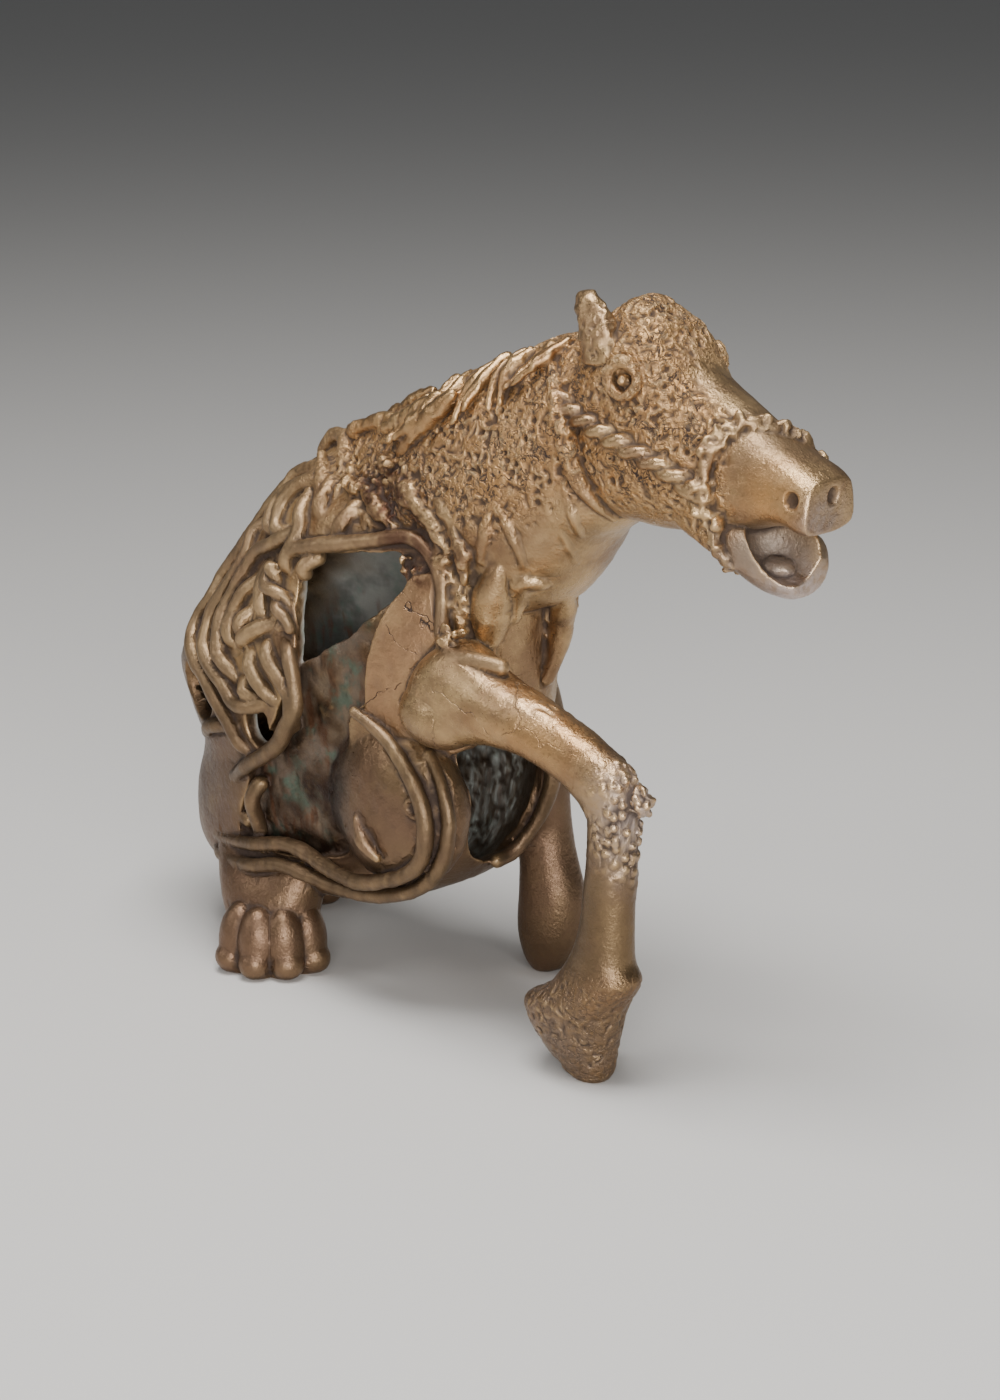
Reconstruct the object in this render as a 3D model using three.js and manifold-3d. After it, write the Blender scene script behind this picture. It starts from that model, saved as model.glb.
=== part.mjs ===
import * as THREE from 'three';
import { mergeVertices } from 'three/addons/utils/BufferGeometryUtils.js';
import Module from 'manifold-3d';

const wasm = await Module();
wasm.setup();

// Driving dimensions, in millimetres
const figureHeight = 153;
const wall = 3;
const wireDiameter = 3.4;
const bandDiameter = 3.2;
const ropeDiameter = 4.2;
const nosebandDiameter = 4;
const sheetThickness = 2.4;
const nostrilDiameter = 2.6;
const eyeRingDiameter = 6.4;
const eyeRingThickness = 1.7;
const pupilDiameter = 2.6;

// The rows and routes below are drawn on a figure 153 units high to the tip of its ear
const unit = figureHeight / 153;

// Catmull-Rom through rows of numbers, t running from 0 to 1
function rowAt(rows, t) {
  const last = rows.length - 1;
  const s = Math.min(Math.max(t, 0), 1) * last;
  const i = Math.min(Math.floor(s), last - 1);
  const f = s - i;
  const [a, b, c, d] = [i - 1, i, i + 1, i + 2].map((j) => rows[Math.min(Math.max(j, 0), last)]);
  return b.map((_, k) => 0.5 * (2 * b[k] + (c[k] - a[k]) * f
    + (2 * a[k] - 5 * b[k] + 4 * c[k] - d[k]) * f ** 2
    + (3 * b[k] - a[k] - 3 * c[k] + d[k]) * f ** 3));
}

const signedPower = (value, power) => Math.sign(value) * Math.abs(value) ** power;

const inUnits = ([x, y, z]) => new THREE.Vector3(x, y, z).multiplyScalar(unit);

// The same route on the far side of the figure
const mirrored = (route) => route.map(([x, y, z]) => [x, -y, z]);

// A closed geometry as a solid that can be joined and cut
function solid(geometry) {
  const bare = geometry.clone();
  bare.deleteAttribute('normal');
  bare.deleteAttribute('uv');
  const merged = mergeVertices(bare, 1e-5);
  const triVerts = new Uint32Array(merged.index.array);
  const vertProperties = new Float32Array(merged.attributes.position.array);
  const made = new wasm.Manifold(new wasm.Mesh({ numProp: 3, vertProperties, triVerts }));
  if (made.volume() > 0) return made;
  for (let i = 0; i < triVerts.length; i += 3) {
    [triVerts[i], triVerts[i + 1]] = [triVerts[i + 1], triVerts[i]];
  }
  return new wasm.Manifold(new wasm.Mesh({ numProp: 3, vertProperties, triVerts }));
}

// A closed skin over a list of rings, with a pole in the middle of each end ring
function skin(rings) {
  const around = rings[0].length;
  const points = rings.flat();
  for (const ring of [rings[0], rings.at(-1)]) {
    points.push(ring.reduce((sum, p) => sum.add(p), new THREE.Vector3()).divideScalar(around));
  }
  const [startPole, endPole] = [points.length - 2, points.length - 1];
  const index = [];
  for (let i = 0; i < rings.length - 1; i += 1) {
    for (let j = 0; j < around; j += 1) {
      const [a, b] = [i * around + j, i * around + (j + 1) % around];
      index.push(a, b, a + around, b, b + around, a + around);
    }
  }
  const endRing = (rings.length - 1) * around;
  for (let j = 0; j < around; j += 1) {
    const next = (j + 1) % around;
    index.push(startPole, next, j, endPole, endRing + j, endRing + next);
  }
  const geometry = new THREE.BufferGeometry().setFromPoints(points);
  geometry.setIndex(index);
  return solid(geometry);
}

// A limb, neck or head: rows of [front x, front z, back x, back z, half width, centre y]
function limb(rows, { around = 12, along = 12, fullness = 2.2, narrowing = 0 } = {}) {
  const rings = [];
  for (let i = 0; i <= along; i += 1) {
    const [frontX, frontZ, backX, backZ, half, centreY] = rowAt(rows, i / along);
    const ring = [];
    for (let j = 0; j < around; j += 1) {
      const angle = (j / around) * 2 * Math.PI;
      const up = signedPower(Math.sin(angle), 2 / fullness);
      const side = signedPower(Math.cos(angle), 2 / fullness) * half * (1 - narrowing * up);
      ring.push(inUnits([
        (frontX + backX) / 2 + (frontX - backX) / 2 * up,
        centreY + side,
        (frontZ + backZ) / 2 + (frontZ - backZ) / 2 * up,
      ]));
    }
    rings.push(ring);
  }
  return skin(rings);
}

function ball(centre, radii, { across = 12, down = 7 } = {}) {
  const geometry = new THREE.SphereGeometry(1, across, down);
  geometry.rotateX(Math.PI / 2);
  geometry.scale(...radii);
  geometry.translate(...centre);
  geometry.scale(unit, unit, unit);
  return solid(geometry);
}

// A round wire of one thickness along a smooth route
function wire(points, diameter, { sides = 5, step = 13.5 } = {}) {
  const path = new THREE.CatmullRomCurve3(points);
  const corners = Array.from({ length: sides }, (_, i) => {
    const angle = (i / sides) * 2 * Math.PI;
    return new THREE.Vector2(Math.cos(angle), Math.sin(angle)).multiplyScalar(diameter / 2);
  });
  return solid(new THREE.ExtrudeGeometry(new THREE.Shape(corners), {
    steps: Math.max(3, Math.round(path.getLength() / (step * unit))),
    extrudePath: path,
  }));
}

// A tapering strand: its width in millimetres runs through the given widths, and lobes that turn
// make it a rope
function strand(points, widths, { sides = 5, steps = 3, lobes = 0, depth = 0, turns = 0 } = {}) {
  const path = new THREE.CatmullRomCurve3(points);
  const { normals, binormals } = path.computeFrenetFrames(steps);
  const rings = normals.map((normal, i) => {
    const t = i / steps;
    const centre = path.getPointAt(t);
    const [width] = rowAt(widths.map((w) => [w]), t);
    return Array.from({ length: sides }, (_, j) => {
      const angle = (j / sides) * 2 * Math.PI;
      const radius = width / 2 * (1 + depth * Math.cos(lobes * (angle - 2 * Math.PI * turns * t)));
      return centre.clone()
        .addScaledVector(normal, radius * Math.cos(angle))
        .addScaledVector(binormals[i], radius * Math.sin(angle));
    });
  });
  return skin(rings);
}

// Outlines drawn on the near side run inwards from it, and those drawn on the chest run forwards
const throughSide = new THREE.Matrix4().makeBasis(
  new THREE.Vector3(1, 0, 0), new THREE.Vector3(0, 0, 1), new THREE.Vector3(0, -1, 0));
const throughFront = new THREE.Matrix4().makeBasis(
  new THREE.Vector3(0, 1, 0), new THREE.Vector3(0, 0, 1), new THREE.Vector3(1, 0, 0));

// A straight block: an outline run for a depth from a start, all in units
function block(outline, depth, start, direction) {
  const shape = new THREE.Shape(outline.map(([a, b]) => new THREE.Vector2(a, b)));
  const geometry = new THREE.ExtrudeGeometry(shape, { depth, bevelEnabled: false });
  geometry.applyMatrix4(direction);
  geometry.translate(...start);
  geometry.scale(unit, unit, unit);
  return solid(geometry);
}

const join = (pieces) => pieces.reduce((sum, piece) => sum.add(piece));

// The trunk in level sections: rows of [height, back x, front x, half width]
const trunkRows = [
  [13, -74, -32, 9],
  [17, -79, -18, 17],
  [24, -80.5, -4, 21],
  [33, -79.5, 5, 22.5],
  [43, -76.5, 10, 23.5],
  [50, -80.5, 11, 24],
  [60, -84, 12, 24.5],
  [70, -77, 13, 24],
  [80, -68, 14, 22.8],
  [92, -59, 15, 20.5],
  [101, -51, 14, 17.5],
  [108, -44, 8, 13],
  [112, -40, 0, 8],
];
const trunkFullness = 2.4;
const trunkFoot = trunkRows[0][0];
const trunkTop = trunkRows.at(-1)[0];

function trunkRow(height) {
  let i = trunkRows.findIndex((row, k) => k > 0 && row[0] >= height);
  if (i < 0) i = trunkRows.length - 1;
  const [low, high] = [trunkRows[i - 1][0], trunkRows[i][0]];
  return rowAt(trunkRows, (i - 1 + (height - low) / (high - low)) / (trunkRows.length - 1));
}

// A point on the trunk: angle 0 is the chest, 90 the near flank, 180 the rump, 270 the far flank.
// The lift stands it off the trunk's face, in millimetres
function trunkPoint(angle, height, lift = 0) {
  const [, back, front, half] = trunkRow(height);
  const radians = THREE.MathUtils.degToRad(angle);
  const c = signedPower(Math.cos(radians), 2 / trunkFullness);
  const s = signedPower(Math.sin(radians), 2 / trunkFullness);
  const point = inUnits([(back + front) / 2 + (front - back) / 2 * c, -half * s, height]);
  return point.add(new THREE.Vector3(lift * c, -lift * s, 0));
}

function trunkSkin(low, high, lift, { around = 18, along = 9 } = {}) {
  const rings = [];
  for (let i = 0; i <= along; i += 1) {
    const height = low + (high - low) * i / along;
    rings.push(Array.from({ length: around }, (_, j) => trunkPoint((j / around) * 360, height, lift)));
  }
  return skin(rings);
}

// The near flank's window is open above a torn edge, and a rough sheet is set back below it
const windowOutline = [
  [-31, 92], [-22, 94], [-13, 95.5], [-5, 96], [-3, 86], [-1, 80], [-5, 74], [-8, 68], [-16, 61],
  [-16, 53], [-18, 44], [-21, 30], [-51, 26], [-47, 41], [-42, 49], [-35, 60], [-31, 72], [-32, 82],
];
const sheetOutline = [
  [-3, 86], [-3, 74], [-8, 64], [-13, 59], [-13, 50], [-15, 42], [-18, 26], [-55, 22], [-51, 42],
  [-46, 47], [-39, 52], [-36, 60], [-33, 67], [-27, 71.5], [-20, 76], [-13, 81.5], [-8, 86],
];
const chestOpening = [
  [-12.5, 62], [-11.5, 46], [-8.5, 34], [-3, 29.5], [3, 28.5], [8.5, 30], [11, 40], [12, 52], [9, 62],
];

// The body was cast over a core, so it is hollow inside its wall, from one height to another
const hollowFoot = 20;
const hollowTop = 103;
const coarse = { around: 12, along: 5 };
const hollow = trunkSkin(hollowFoot, hollowTop, -wall, coarse);

// Two holes between the wires, each as [angle, height] on the trunk and how far it reaches
const wireHoles = [
  { place: [124, 57], radii: [7, 6.5, 7.5] },
  { place: [96, 54], radii: [3.8, 6, 4.8] },
];

function makeTrunk() {
  const throughNearSide = (outline) => block(outline, 40, [0, -4, 0], throughSide);
  const holes = wireHoles.map(({ place, radii }) => (
    ball(trunkPoint(...place).divideScalar(unit).toArray(), radii, { across: 10, down: 6 })
  ));
  const shell = trunkSkin(trunkFoot, trunkTop, 0)
    .subtract(hollow)
    .subtract(throughNearSide(windowOutline))
    .subtract(block(chestOpening, 50, [-12, 0, 0], throughFront))
    .subtract(join(holes));
  const overlap = 0.5;
  const sheet = trunkSkin(trunkFoot, trunkTop, overlap - wall, coarse)
    .subtract(trunkSkin(hollowFoot, hollowTop, overlap - wall - sheetThickness, coarse))
    .intersect(throughNearSide(sheetOutline));
  return shell.add(sheet);
}

const neckRows = [
  [-40, 113.5, -12, 92, 8, 0],
  [-31, 116.5, 4, 84, 15, 0],
  [-22, 120.5, 19, 87, 16.5, 0],
  [-10, 126, 25, 91, 17, 0],
  [0, 132, 30, 97, 16, 0],
  [10, 136, 34, 103, 15, 0],
  [21, 141, 39, 107, 13.5, 0],
  [30, 143, 44, 112, 11, 0],
];

// Locks of the mane, each from the crest down over the side of the neck
const maneLocks = [
  [[27, -4, 142], [25, -10.5, 137], [23, -13.5, 131]],
  [[19, -4, 139.5], [16.5, -10.5, 134.5], [14, -14, 128]],
  [[12, -4, 137], [10.5, -11, 131.5], [8, -14.5, 125.5]],
  [[5, -4, 134], [4, -11.5, 128.5], [1, -15, 122.5]],
  [[-2, -4, 131], [-4, -11.5, 125], [-8, -15, 118]],
  [[-10, -4, 126.5], [-12, -11, 120.5], [-16, -14, 114]],
];
const lockWidths = [2.5, 5, 2];

function makeNeck() {
  return join([
    limb(neckRows, { around: 14, along: 7, narrowing: 0.12 }).subtract(hollow),
    ...maneLocks.map((lock) => strand(lock.map(inUnits), lockWidths.map((w) => w * unit))),
  ]);
}

const headRows = [
  [29, 141, 35, 112, 9, 0],
  [35, 147, 40, 109, 12, 0],
  [43, 152, 48, 108.5, 12.5, 0],
  [51, 148.5, 56, 109, 12, 0],
  [57.5, 140.5, 63, 109.5, 10.8, 0],
  [67, 135, 69, 110.5, 9.4, 0],
  [76, 130, 75, 113, 8.4, 0],
  [83, 126.2, 81, 114.4, 7.8, 0],
  [88, 124, 86.5, 114.4, 7.4, -0.4],
  [91, 121.6, 90, 115.4, 5.6, -1],
];
const jawRows = [
  [56, 118, 58, 108.5, 8, 0],
  [64, 117, 65, 106.5, 9, 0],
  [71, 115, 70, 103.5, 8.8, 0],
  [77, 113.5, 75, 101, 8, 0],
  [82, 112, 79.5, 99.8, 6.8, 0.5],
  [84, 108, 82, 100.5, 4.5, 1],
];
const nearEarRows = [
  [43.5, 140, 35, 139, 2.6, -9],
  [43, 146, 34.6, 144, 2.8, -9],
  [40, 150, 33, 148.5, 2.4, -8.6],
  [36.4, 153, 33, 151.8, 1.3, -8],
];
const farEarRows = [
  [43, 143, 35, 142, 2.6, 8],
  [42, 149, 37, 148, 1.8, 8],
];
const ropeRoute = [
  [30, -11, 132.5], [35, -12, 130], [42, -13, 128], [49, -13, 126], [55, -12.3, 123.8],
  [61, -11.3, 121.3], [65.5, -10.3, 117.5], [68, -9.5, 113],
];
const nosebandRoute = [
  [70, -5, 105], [69, -9.4, 110], [67, -10.2, 116], [66, -10.5, 122], [67, -9.6, 127], [69, -6.5, 131],
  [73, -1, 131], [76.5, 4.5, 128], [77, 8, 123], [76, 8.8, 117], [74, 8.5, 111], [71, 5, 105],
];
const eyeCentre = [46, -12, 138];
const nostrilCentres = [[88.8, -6, 120.7], [90.8, 1, 120.4]];

// A scoop out of the lower jaw leaves its rim, and a low tongue lies in it
const scoopCentre = [81.5, -3.5, 112.5];
const scoopRadii = [10.5, 7, 9.6];
const tongueCentre = [75, 0, 105.5];
const tongueRadii = [4.5, 3.5, 2.6];

// Both sides of the head, the far one seen in a mirror
const onBothSides = (place, make) => [place, mirrored([place])[0]].map((centre) => make(inUnits(centre)));

function makeEye(centre) {
  const ring = new THREE.TorusGeometry((eyeRingDiameter - eyeRingThickness) / 2, eyeRingThickness / 2, 4, 8);
  ring.rotateX(Math.PI / 2);
  ring.translate(...centre);
  const pupil = new THREE.SphereGeometry(pupilDiameter / 2, 6, 4);
  pupil.translate(...centre);
  return solid(ring).add(solid(pupil));
}

function makeNostril(centre) {
  const bore = new THREE.SphereGeometry(nostrilDiameter / 2, 8, 5);
  bore.translate(...inUnits(centre));
  return solid(bore);
}

function makeHead() {
  const skull = nostrilCentres.map(makeNostril).reduce(
    (rest, bore) => rest.subtract(bore),
    limb(headRows, { around: 14, along: 11, fullness: 2.3, narrowing: 0.1 }),
  );
  const jaw = limb(jawRows, { around: 12, along: 6 }).subtract(ball(scoopCentre, scoopRadii));
  const rope = strand(ropeRoute.map(inUnits), [0.9, 1, 1, 0.9].map((w) => w * ropeDiameter), {
    sides: 6, steps: 18, lobes: 2, depth: 0.3, turns: 2.6,
  });
  return join([
    skull,
    jaw,
    ball(tongueCentre, tongueRadii, { across: 8, down: 5 }),
    limb(nearEarRows, { around: 6, along: 4 }),
    limb(farEarRows, { around: 6, along: 1 }),
    rope,
    wire(mirrored(ropeRoute).map(inUnits), ropeDiameter),
    wire(nosebandRoute.map(inUnits), nosebandDiameter, { sides: 4, step: 8 }),
    ...onBothSides(eyeCentre, makeEye),
  ]);
}

const nearForeRows = [
  [0, 74, -1, 62, 4, -18],
  [5, 79, 2, 60, 6.5, -18.5],
  [12, 82, 10, 60, 8, -18],
  [23, 77.5, 22, 63, 7, -19],
  [35, 74.2, 33, 62.5, 6, -19],
  [47, 69.8, 42, 59.5, 5.4, -19],
  [56.5, 64.5, 47, 55, 5, -19],
  [58.5, 57, 47.5, 51, 4.8, -19],
  [57.5, 47, 47.3, 46, 4.5, -19],
  [57, 36, 46, 35, 4.7, -19],
  [57, 27, 44, 27, 5.2, -19],
  [58.5, 22.5, 39, 19, 6.5, -19],
  [55, 16.5, 32, 14, 7.4, -19],
  [53, 9, 35, 7, 6.2, -18.5],
  [51.5, 3, 40, 2, 4.4, -18],
  [50.5, 0, 43, 0, 3.4, -18],
];
const farForeRows = [
  [1, 82, -12, 76, 5, 13],
  [1, 70, -11, 66, 6, 16],
  [3, 56, -8, 56, 6, 18.5],
  [4.5, 44, -6, 44, 5.2, 19],
  [5, 34, -6, 34, 5, 19],
  [6.5, 26, -6, 26, 5.4, 19],
  [9, 17, -6, 18, 6.2, 19],
  [9, 8, -6, 9, 6.6, 19],
  [6, 2, -4.5, 3, 5.4, 19],
  [3.5, 0, -2, 0, 4, 19],
];
const shoulderPlate = [
  [-6, 86], [-9, 78.5], [-10.5, 70.5], [-10.5, 64], [-8, 61], [-5, 58], [3, 56], [10, 60], [15, 79],
  [12, 90], [5, 94], [-1, 93], [-3, 90],
];
const shoulderLift = 1.5;
const shoulderFoot = 50;
const shoulderTop = 100;

function makeForelegs() {
  const elbow = ball([8, -20.5, 66.5], [10, 6.5, 7], { across: 10, down: 6 });
  const kneeSpur = ball([59.5, -19, 60], [2.4, 2, 3], { across: 6, down: 4 });
  const shoulder = trunkSkin(shoulderFoot, shoulderTop, shoulderLift, { around: 14, along: 3 })
    .intersect(block(shoulderPlate, 30, [0, -10, 0], throughSide));
  return join([
    limb(nearForeRows, { around: 9, along: 16 }).subtract(hollow),
    limb(farForeRows, { around: 8, along: 8 }).subtract(hollow),
    elbow,
    kneeSpur,
    shoulder,
  ]);
}

const nearHockRows = [
  [-32, 28, -66, 26, 8, -12],
  [-33, 18, -60, 17, 9, -17],
  [-34, 9, -54, 9, 8.5, -19.5],
];
const farHockRows = [
  [-58, 30, -80, 30, 7, 9],
  [-61, 19, -82, 19, 8, 12],
  [-63, 9, -81, 9, 8, 14],
];
const haunchRidge = [[-11, -26.5, 43], [-8, -27, 38], [-4, -26, 34]];

const toeSpread = 38;
const toeReach = 8;
const toeHeight = 6.5;
const toeRadii = [4.8, 4.8, 8.6];
const pawHeight = 8;
const pawRadii = [10.5, 9.5, 10.5];

// A paw with toes that spread about the way it faces, in degrees from +X towards +Y
function makePaw([x, y], facing) {
  const toes = [-1.5, -0.5, 0.5, 1.5].map((share) => {
    const angle = THREE.MathUtils.degToRad(facing + share * toeSpread);
    const centre = [x + toeReach * Math.cos(angle), y + toeReach * Math.sin(angle), toeHeight];
    return ball(centre, toeRadii, { across: 6, down: 4 });
  });
  return join([ball([x, y, pawHeight], pawRadii, { across: 8, down: 5 }), ...toes]);
}

function makeHindLegs() {
  const nearHaunch = ball([-7, -17.5, 44], [18, 9, 17.5], { across: 12, down: 7 });
  const farHaunch = ball([-13, 14.5, 41], [18, 11, 17], { across: 10, down: 5 });
  return join([
    nearHaunch.add(farHaunch).subtract(hollow),
    limb(nearHockRows, { around: 10, along: 2 }),
    limb(farHockRows, { around: 10, along: 2 }),
    makePaw([-43.5, -19.5], -48),
    makePaw([-72, 14], 10),
    strand(haunchRidge.map(inUnits), [1.5, 3.4, 1.5].map((w) => w * unit)),
  ]);
}

// Wires laid over the rump and near flank: routes of [angle, height] on the trunk
const rumpWires = [
  [[127, 109], [157, 105], [156, 96], [153, 88], [154, 80], [145, 73], [136, 67], [125, 64], [115, 61],
    [107, 54], [100, 46]],
  [[145, 95], [137, 89], [134, 83], [132, 75], [128, 71], [122, 67], [114, 64], [106, 61], [98, 59]],
  [[108, 97], [119, 92], [126, 87], [126, 80], [118, 71], [107, 65], [102, 62]],
  [[116, 105], [128, 105], [133, 100], [122, 95], [114, 94]],
  [[126, 104], [115, 100], [109, 97], [106, 90], [104, 87]],
  [[118, 89], [112, 85], [107, 80], [103, 76]],
  [[104, 71], [99, 67], [93, 63], [90, 60]],
  [[99, 73], [90, 66], [87, 63], [86, 59], [88, 55]],
  [[94, 74], [87, 66], [85, 61], [87, 57], [95, 48], [104, 44], [115, 39]],
  [[141, 45], [117, 50], [102, 53]],
  [[100, 42], [100, 37], [96, 28]],
];
const farWires = [
  [[165, 108], [172, 96], [176, 80], [172, 66], [164, 54]],
  [[185, 107], [192, 92], [195, 76], [188, 62], [180, 50]],
  [[205, 104], [214, 90], [216, 74], [208, 58], [196, 46]],
];
const twistedWire = [[111, 89], [106, 85], [99, 82], [95, 79], [93, 76]];
const chestRim = [[337, 52], [336, 44], [339, 36], [348, 29.5], [0, 28.5]];

// The shoulder wire crosses the window's top edge and turns down over the shoulder
const onTrunk = (route, lift) => route.map(([angle, height]) => trunkPoint(angle, height, lift));
const shoulderWire = [
  ...onTrunk([[108, 92], [96, 95], [83, 98], [70, 100], [61, 99], [53, 95.5], [48, 91]], 1),
  ...[[6.5, -18.5, 85], [8.5, -20, 81], [13, -21.5, 79.5], [19, -20.5, 79.5], [25, -18.5, 79]]
    .map(inUnits),
];

// Two bands run together below the flank and around the haunch
const bandRoutes = [
  [[-73, -13, 24], [-60, -18.5, 24], [-47, -22.5, 26.5], [-36, -22.5, 29], [-29, -22.5, 28.5],
    [-21, -24, 27.5], [-12, -25, 27.5], [-2, -25, 30.5], [5, -24.5, 35], [7.5, -24.5, 42], [6, -24.5, 49],
    [1, -24, 55], [-5, -24, 60], [-14, -24.5, 64]],
  [[-74, -12, 19.5], [-60, -18, 20], [-47, -22, 22], [-37, -22.5, 25], [-29, -22, 24.5], [-20, -22, 23.5],
    [-9, -22, 24.5], [2, -22, 28.5], [8.5, -21.5, 35], [11, -21.5, 43], [9, -21.5, 51], [4, -21.5, 57]],
];

// Folds of the chest between the neck and the forelegs: routes of [angle, height]
const chestFolds = [
  [[56, 101], [50, 96], [44, 90]],
  [[40, 96], [38, 88], [36, 80]],
  [[25, 93], [22, 86], [27, 78]],
  [[9, 92], [7, 84], [12, 73]],
  [[354, 91], [349, 81], [353, 69]],
];
const foldWidths = [3, 6, 3];

function makeWires() {
  const lift = wireDiameter / 4;
  return join([
    ...rumpWires.map((route) => wire(onTrunk(route, lift), wireDiameter)),
    ...farWires.map((route) => wire(onTrunk(route, lift), wireDiameter, { step: 17 })),
    ...bandRoutes.map((route) => wire(route.map(inUnits), bandDiameter)),
    ...chestFolds.map((route) => strand(onTrunk(route, 0), foldWidths.map((w) => w * unit))),
    wire(shoulderWire, wireDiameter, { step: 7 }),
    wire(onTrunk(chestRim, lift), bandDiameter),
    strand(onTrunk(twistedWire, lift), [1.5 * wireDiameter, 1.5 * wireDiameter], {
      sides: 6, steps: 7, lobes: 2, depth: 0.3, turns: 1,
    }),
  ]);
}

// The knot of wire ends and the ragged lump where the neck meets the withers
const withersKnot = [[-43, -4, 108], [-39, -4, 113], [-33, -7, 113.5], [-29, -11, 108], [-27, -15, 102]];
const withersWireEnd = [[-38, -9, 111], [-33, -13, 105], [-30, -17, 98]];

function makeWithers() {
  const lump = ball([-22, -13, 107], [6, 4, 6.5], { across: 7, down: 5 });
  return join([
    wire(withersKnot.map(inUnits), wireDiameter),
    lump,
    strand(withersWireEnd.map(inUnits), [2, 4, 3].map((w) => w * unit)),
  ]);
}

// Everything below the surface that the feet stand on is cut away, so each sole is flat
function standOnFloor(figure) {
  const below = new THREE.BoxGeometry(2 * figureHeight, 2 * figureHeight, figureHeight);
  below.translate(0, 0, -figureHeight / 2);
  return figure.subtract(solid(below));
}

function toGeometry(manifold) {
  const mesh = manifold.getMesh();
  const geometry = new THREE.BufferGeometry();
  geometry.setAttribute('position', new THREE.BufferAttribute(new Float32Array(mesh.vertProperties), 3));
  geometry.setIndex(new THREE.BufferAttribute(new Uint32Array(mesh.triVerts), 1));
  geometry.computeVertexNormals();
  return geometry;
}

const figure = standOnFloor(join([
  makeTrunk(), makeNeck(), makeHead(), makeForelegs(), makeHindLegs(), makeWires(), makeWithers(),
]));

// The origin is the middle of the figure's box, on the surface that it stands on
const geometry = toGeometry(figure);
geometry.computeBoundingBox();
const { min, max } = geometry.boundingBox;
geometry.translate(-(min.x + max.x) / 2, -(min.y + max.y) / 2, -min.z);

const brass = new THREE.MeshStandardMaterial({ color: 0xa98a62, roughness: 0.45, metalness: 0.9 });
const horse = new THREE.Mesh(geometry, brass);
horse.name = 'horse';

const model = new THREE.Group();
model.add(horse);
export default model;
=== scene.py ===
import math

import bmesh
import bpy
import numpy as np
from bpy.props import FloatProperty, PointerProperty, StringProperty
from mathutils import Matrix, Vector


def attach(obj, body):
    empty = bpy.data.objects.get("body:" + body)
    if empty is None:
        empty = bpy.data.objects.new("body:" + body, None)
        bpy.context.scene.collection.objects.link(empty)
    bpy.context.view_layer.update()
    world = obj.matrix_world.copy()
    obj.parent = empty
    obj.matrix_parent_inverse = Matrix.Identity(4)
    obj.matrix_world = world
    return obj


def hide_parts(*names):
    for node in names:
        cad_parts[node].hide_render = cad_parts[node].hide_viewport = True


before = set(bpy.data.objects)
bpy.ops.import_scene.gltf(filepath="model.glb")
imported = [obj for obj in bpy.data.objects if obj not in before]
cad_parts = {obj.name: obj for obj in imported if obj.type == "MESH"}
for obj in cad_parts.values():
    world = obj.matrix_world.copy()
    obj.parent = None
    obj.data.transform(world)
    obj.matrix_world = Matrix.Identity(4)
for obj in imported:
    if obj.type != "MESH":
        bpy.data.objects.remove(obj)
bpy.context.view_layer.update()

bl_info = {
    "name": "Brass Horse Sculpture",
    "version": (1, 0, 0),
    "blender": (4, 5, 0),
    "location": "View3D > Sidebar > Horse",
    "description": "A small lost-wax brass horse with an open flank, laid wires and a crusted head",
    "category": "Add Mesh",
}

SEED = 7
MM = 0.001
# The rows below are drawn in millimetres about the figure's own axes, and this point of theirs
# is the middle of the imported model's box, on the floor
DRAWN_CENTRE = np.array([3.6258, -2.8812, 0.0])
TRIANGLES = 196000
WIRE = 3.4  # width of the laid wires, in mm

# The photo's view: the camera's place in drawn millimetres, its azimuth and elevation in degrees,
# and its lens and sensor in mm
CAMERA_PLACE = np.array([449.727, -461.134, 260.266])
CAMERA_ANGLES = (44.0, 17.0)
LENS, SENSOR = 85, 36
# Soft lamps: name, place and side in metres, and power in watts, all turned to one point
LAMPS = (
    ("overhead", (0.05, -0.1, 0.75), 0.4, 7.0),
    ("near_left", (-0.45, -0.65, 0.45), 0.4, 1.5),
    ("front", (0.64, -0.36, 0.24), 0.3, 2.8),
    ("beside_camera", (0.5, -0.58, 0.22), 0.3, 3.3),
)
LAMPS_AIM = (0, 0, 0.08)
FLOOR_HALF = 3  # metres from the middle of the floor to its edge


# Colours and small helpers

def linear(hex_code):
    """An sRGB hex colour as linear red, green, blue and an alpha of one."""
    parts = [int(hex_code[i:i + 2], 16) / 255 for i in (1, 3, 5)]
    return tuple(c / 12.92 if c <= 0.04045 else ((c + 0.055) / 1.055) ** 2.4 for c in parts) + (1.0,)


def smooth_step(values, low, high):
    """0 below low, 1 above high, and 3t^2 - 2t^3 between them; low may be the larger."""
    t = np.clip((values - low) / (high - low), 0.0, 1.0)
    return t * t * (3 - 2 * t)


def signed_power(values, power):
    """The sign of each value times its size to a power."""
    return np.sign(values) * np.abs(values) ** power


def blob(points, centre, radii):
    """One at the centre, falling as exp(-r^2) over the radii of an ellipsoid."""
    return np.exp(-(((points - centre) / radii) ** 2).sum(1))


# Noise

def lattice(cells, seed):
    """A repeatable value from 0 to 1 for each whole-number cell: its coordinates times large
    primes, mixed by shifts and multiplications."""
    c = cells.astype(np.int64).astype(np.uint32)
    h = c[..., 0] * np.uint32(374761393) + c[..., 1] * np.uint32(668265263)
    h = h + c[..., 2] * np.uint32(2147483647) + np.uint32(seed * 974711 + 1)
    h = (h ^ (h >> np.uint32(13))) * np.uint32(1274126177)
    h = (h ^ (h >> np.uint32(15))) * np.uint32(2246822519)
    return ((h ^ (h >> np.uint32(16))) & np.uint32(0xFFFFFF)) / float(0xFFFFFF)


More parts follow.
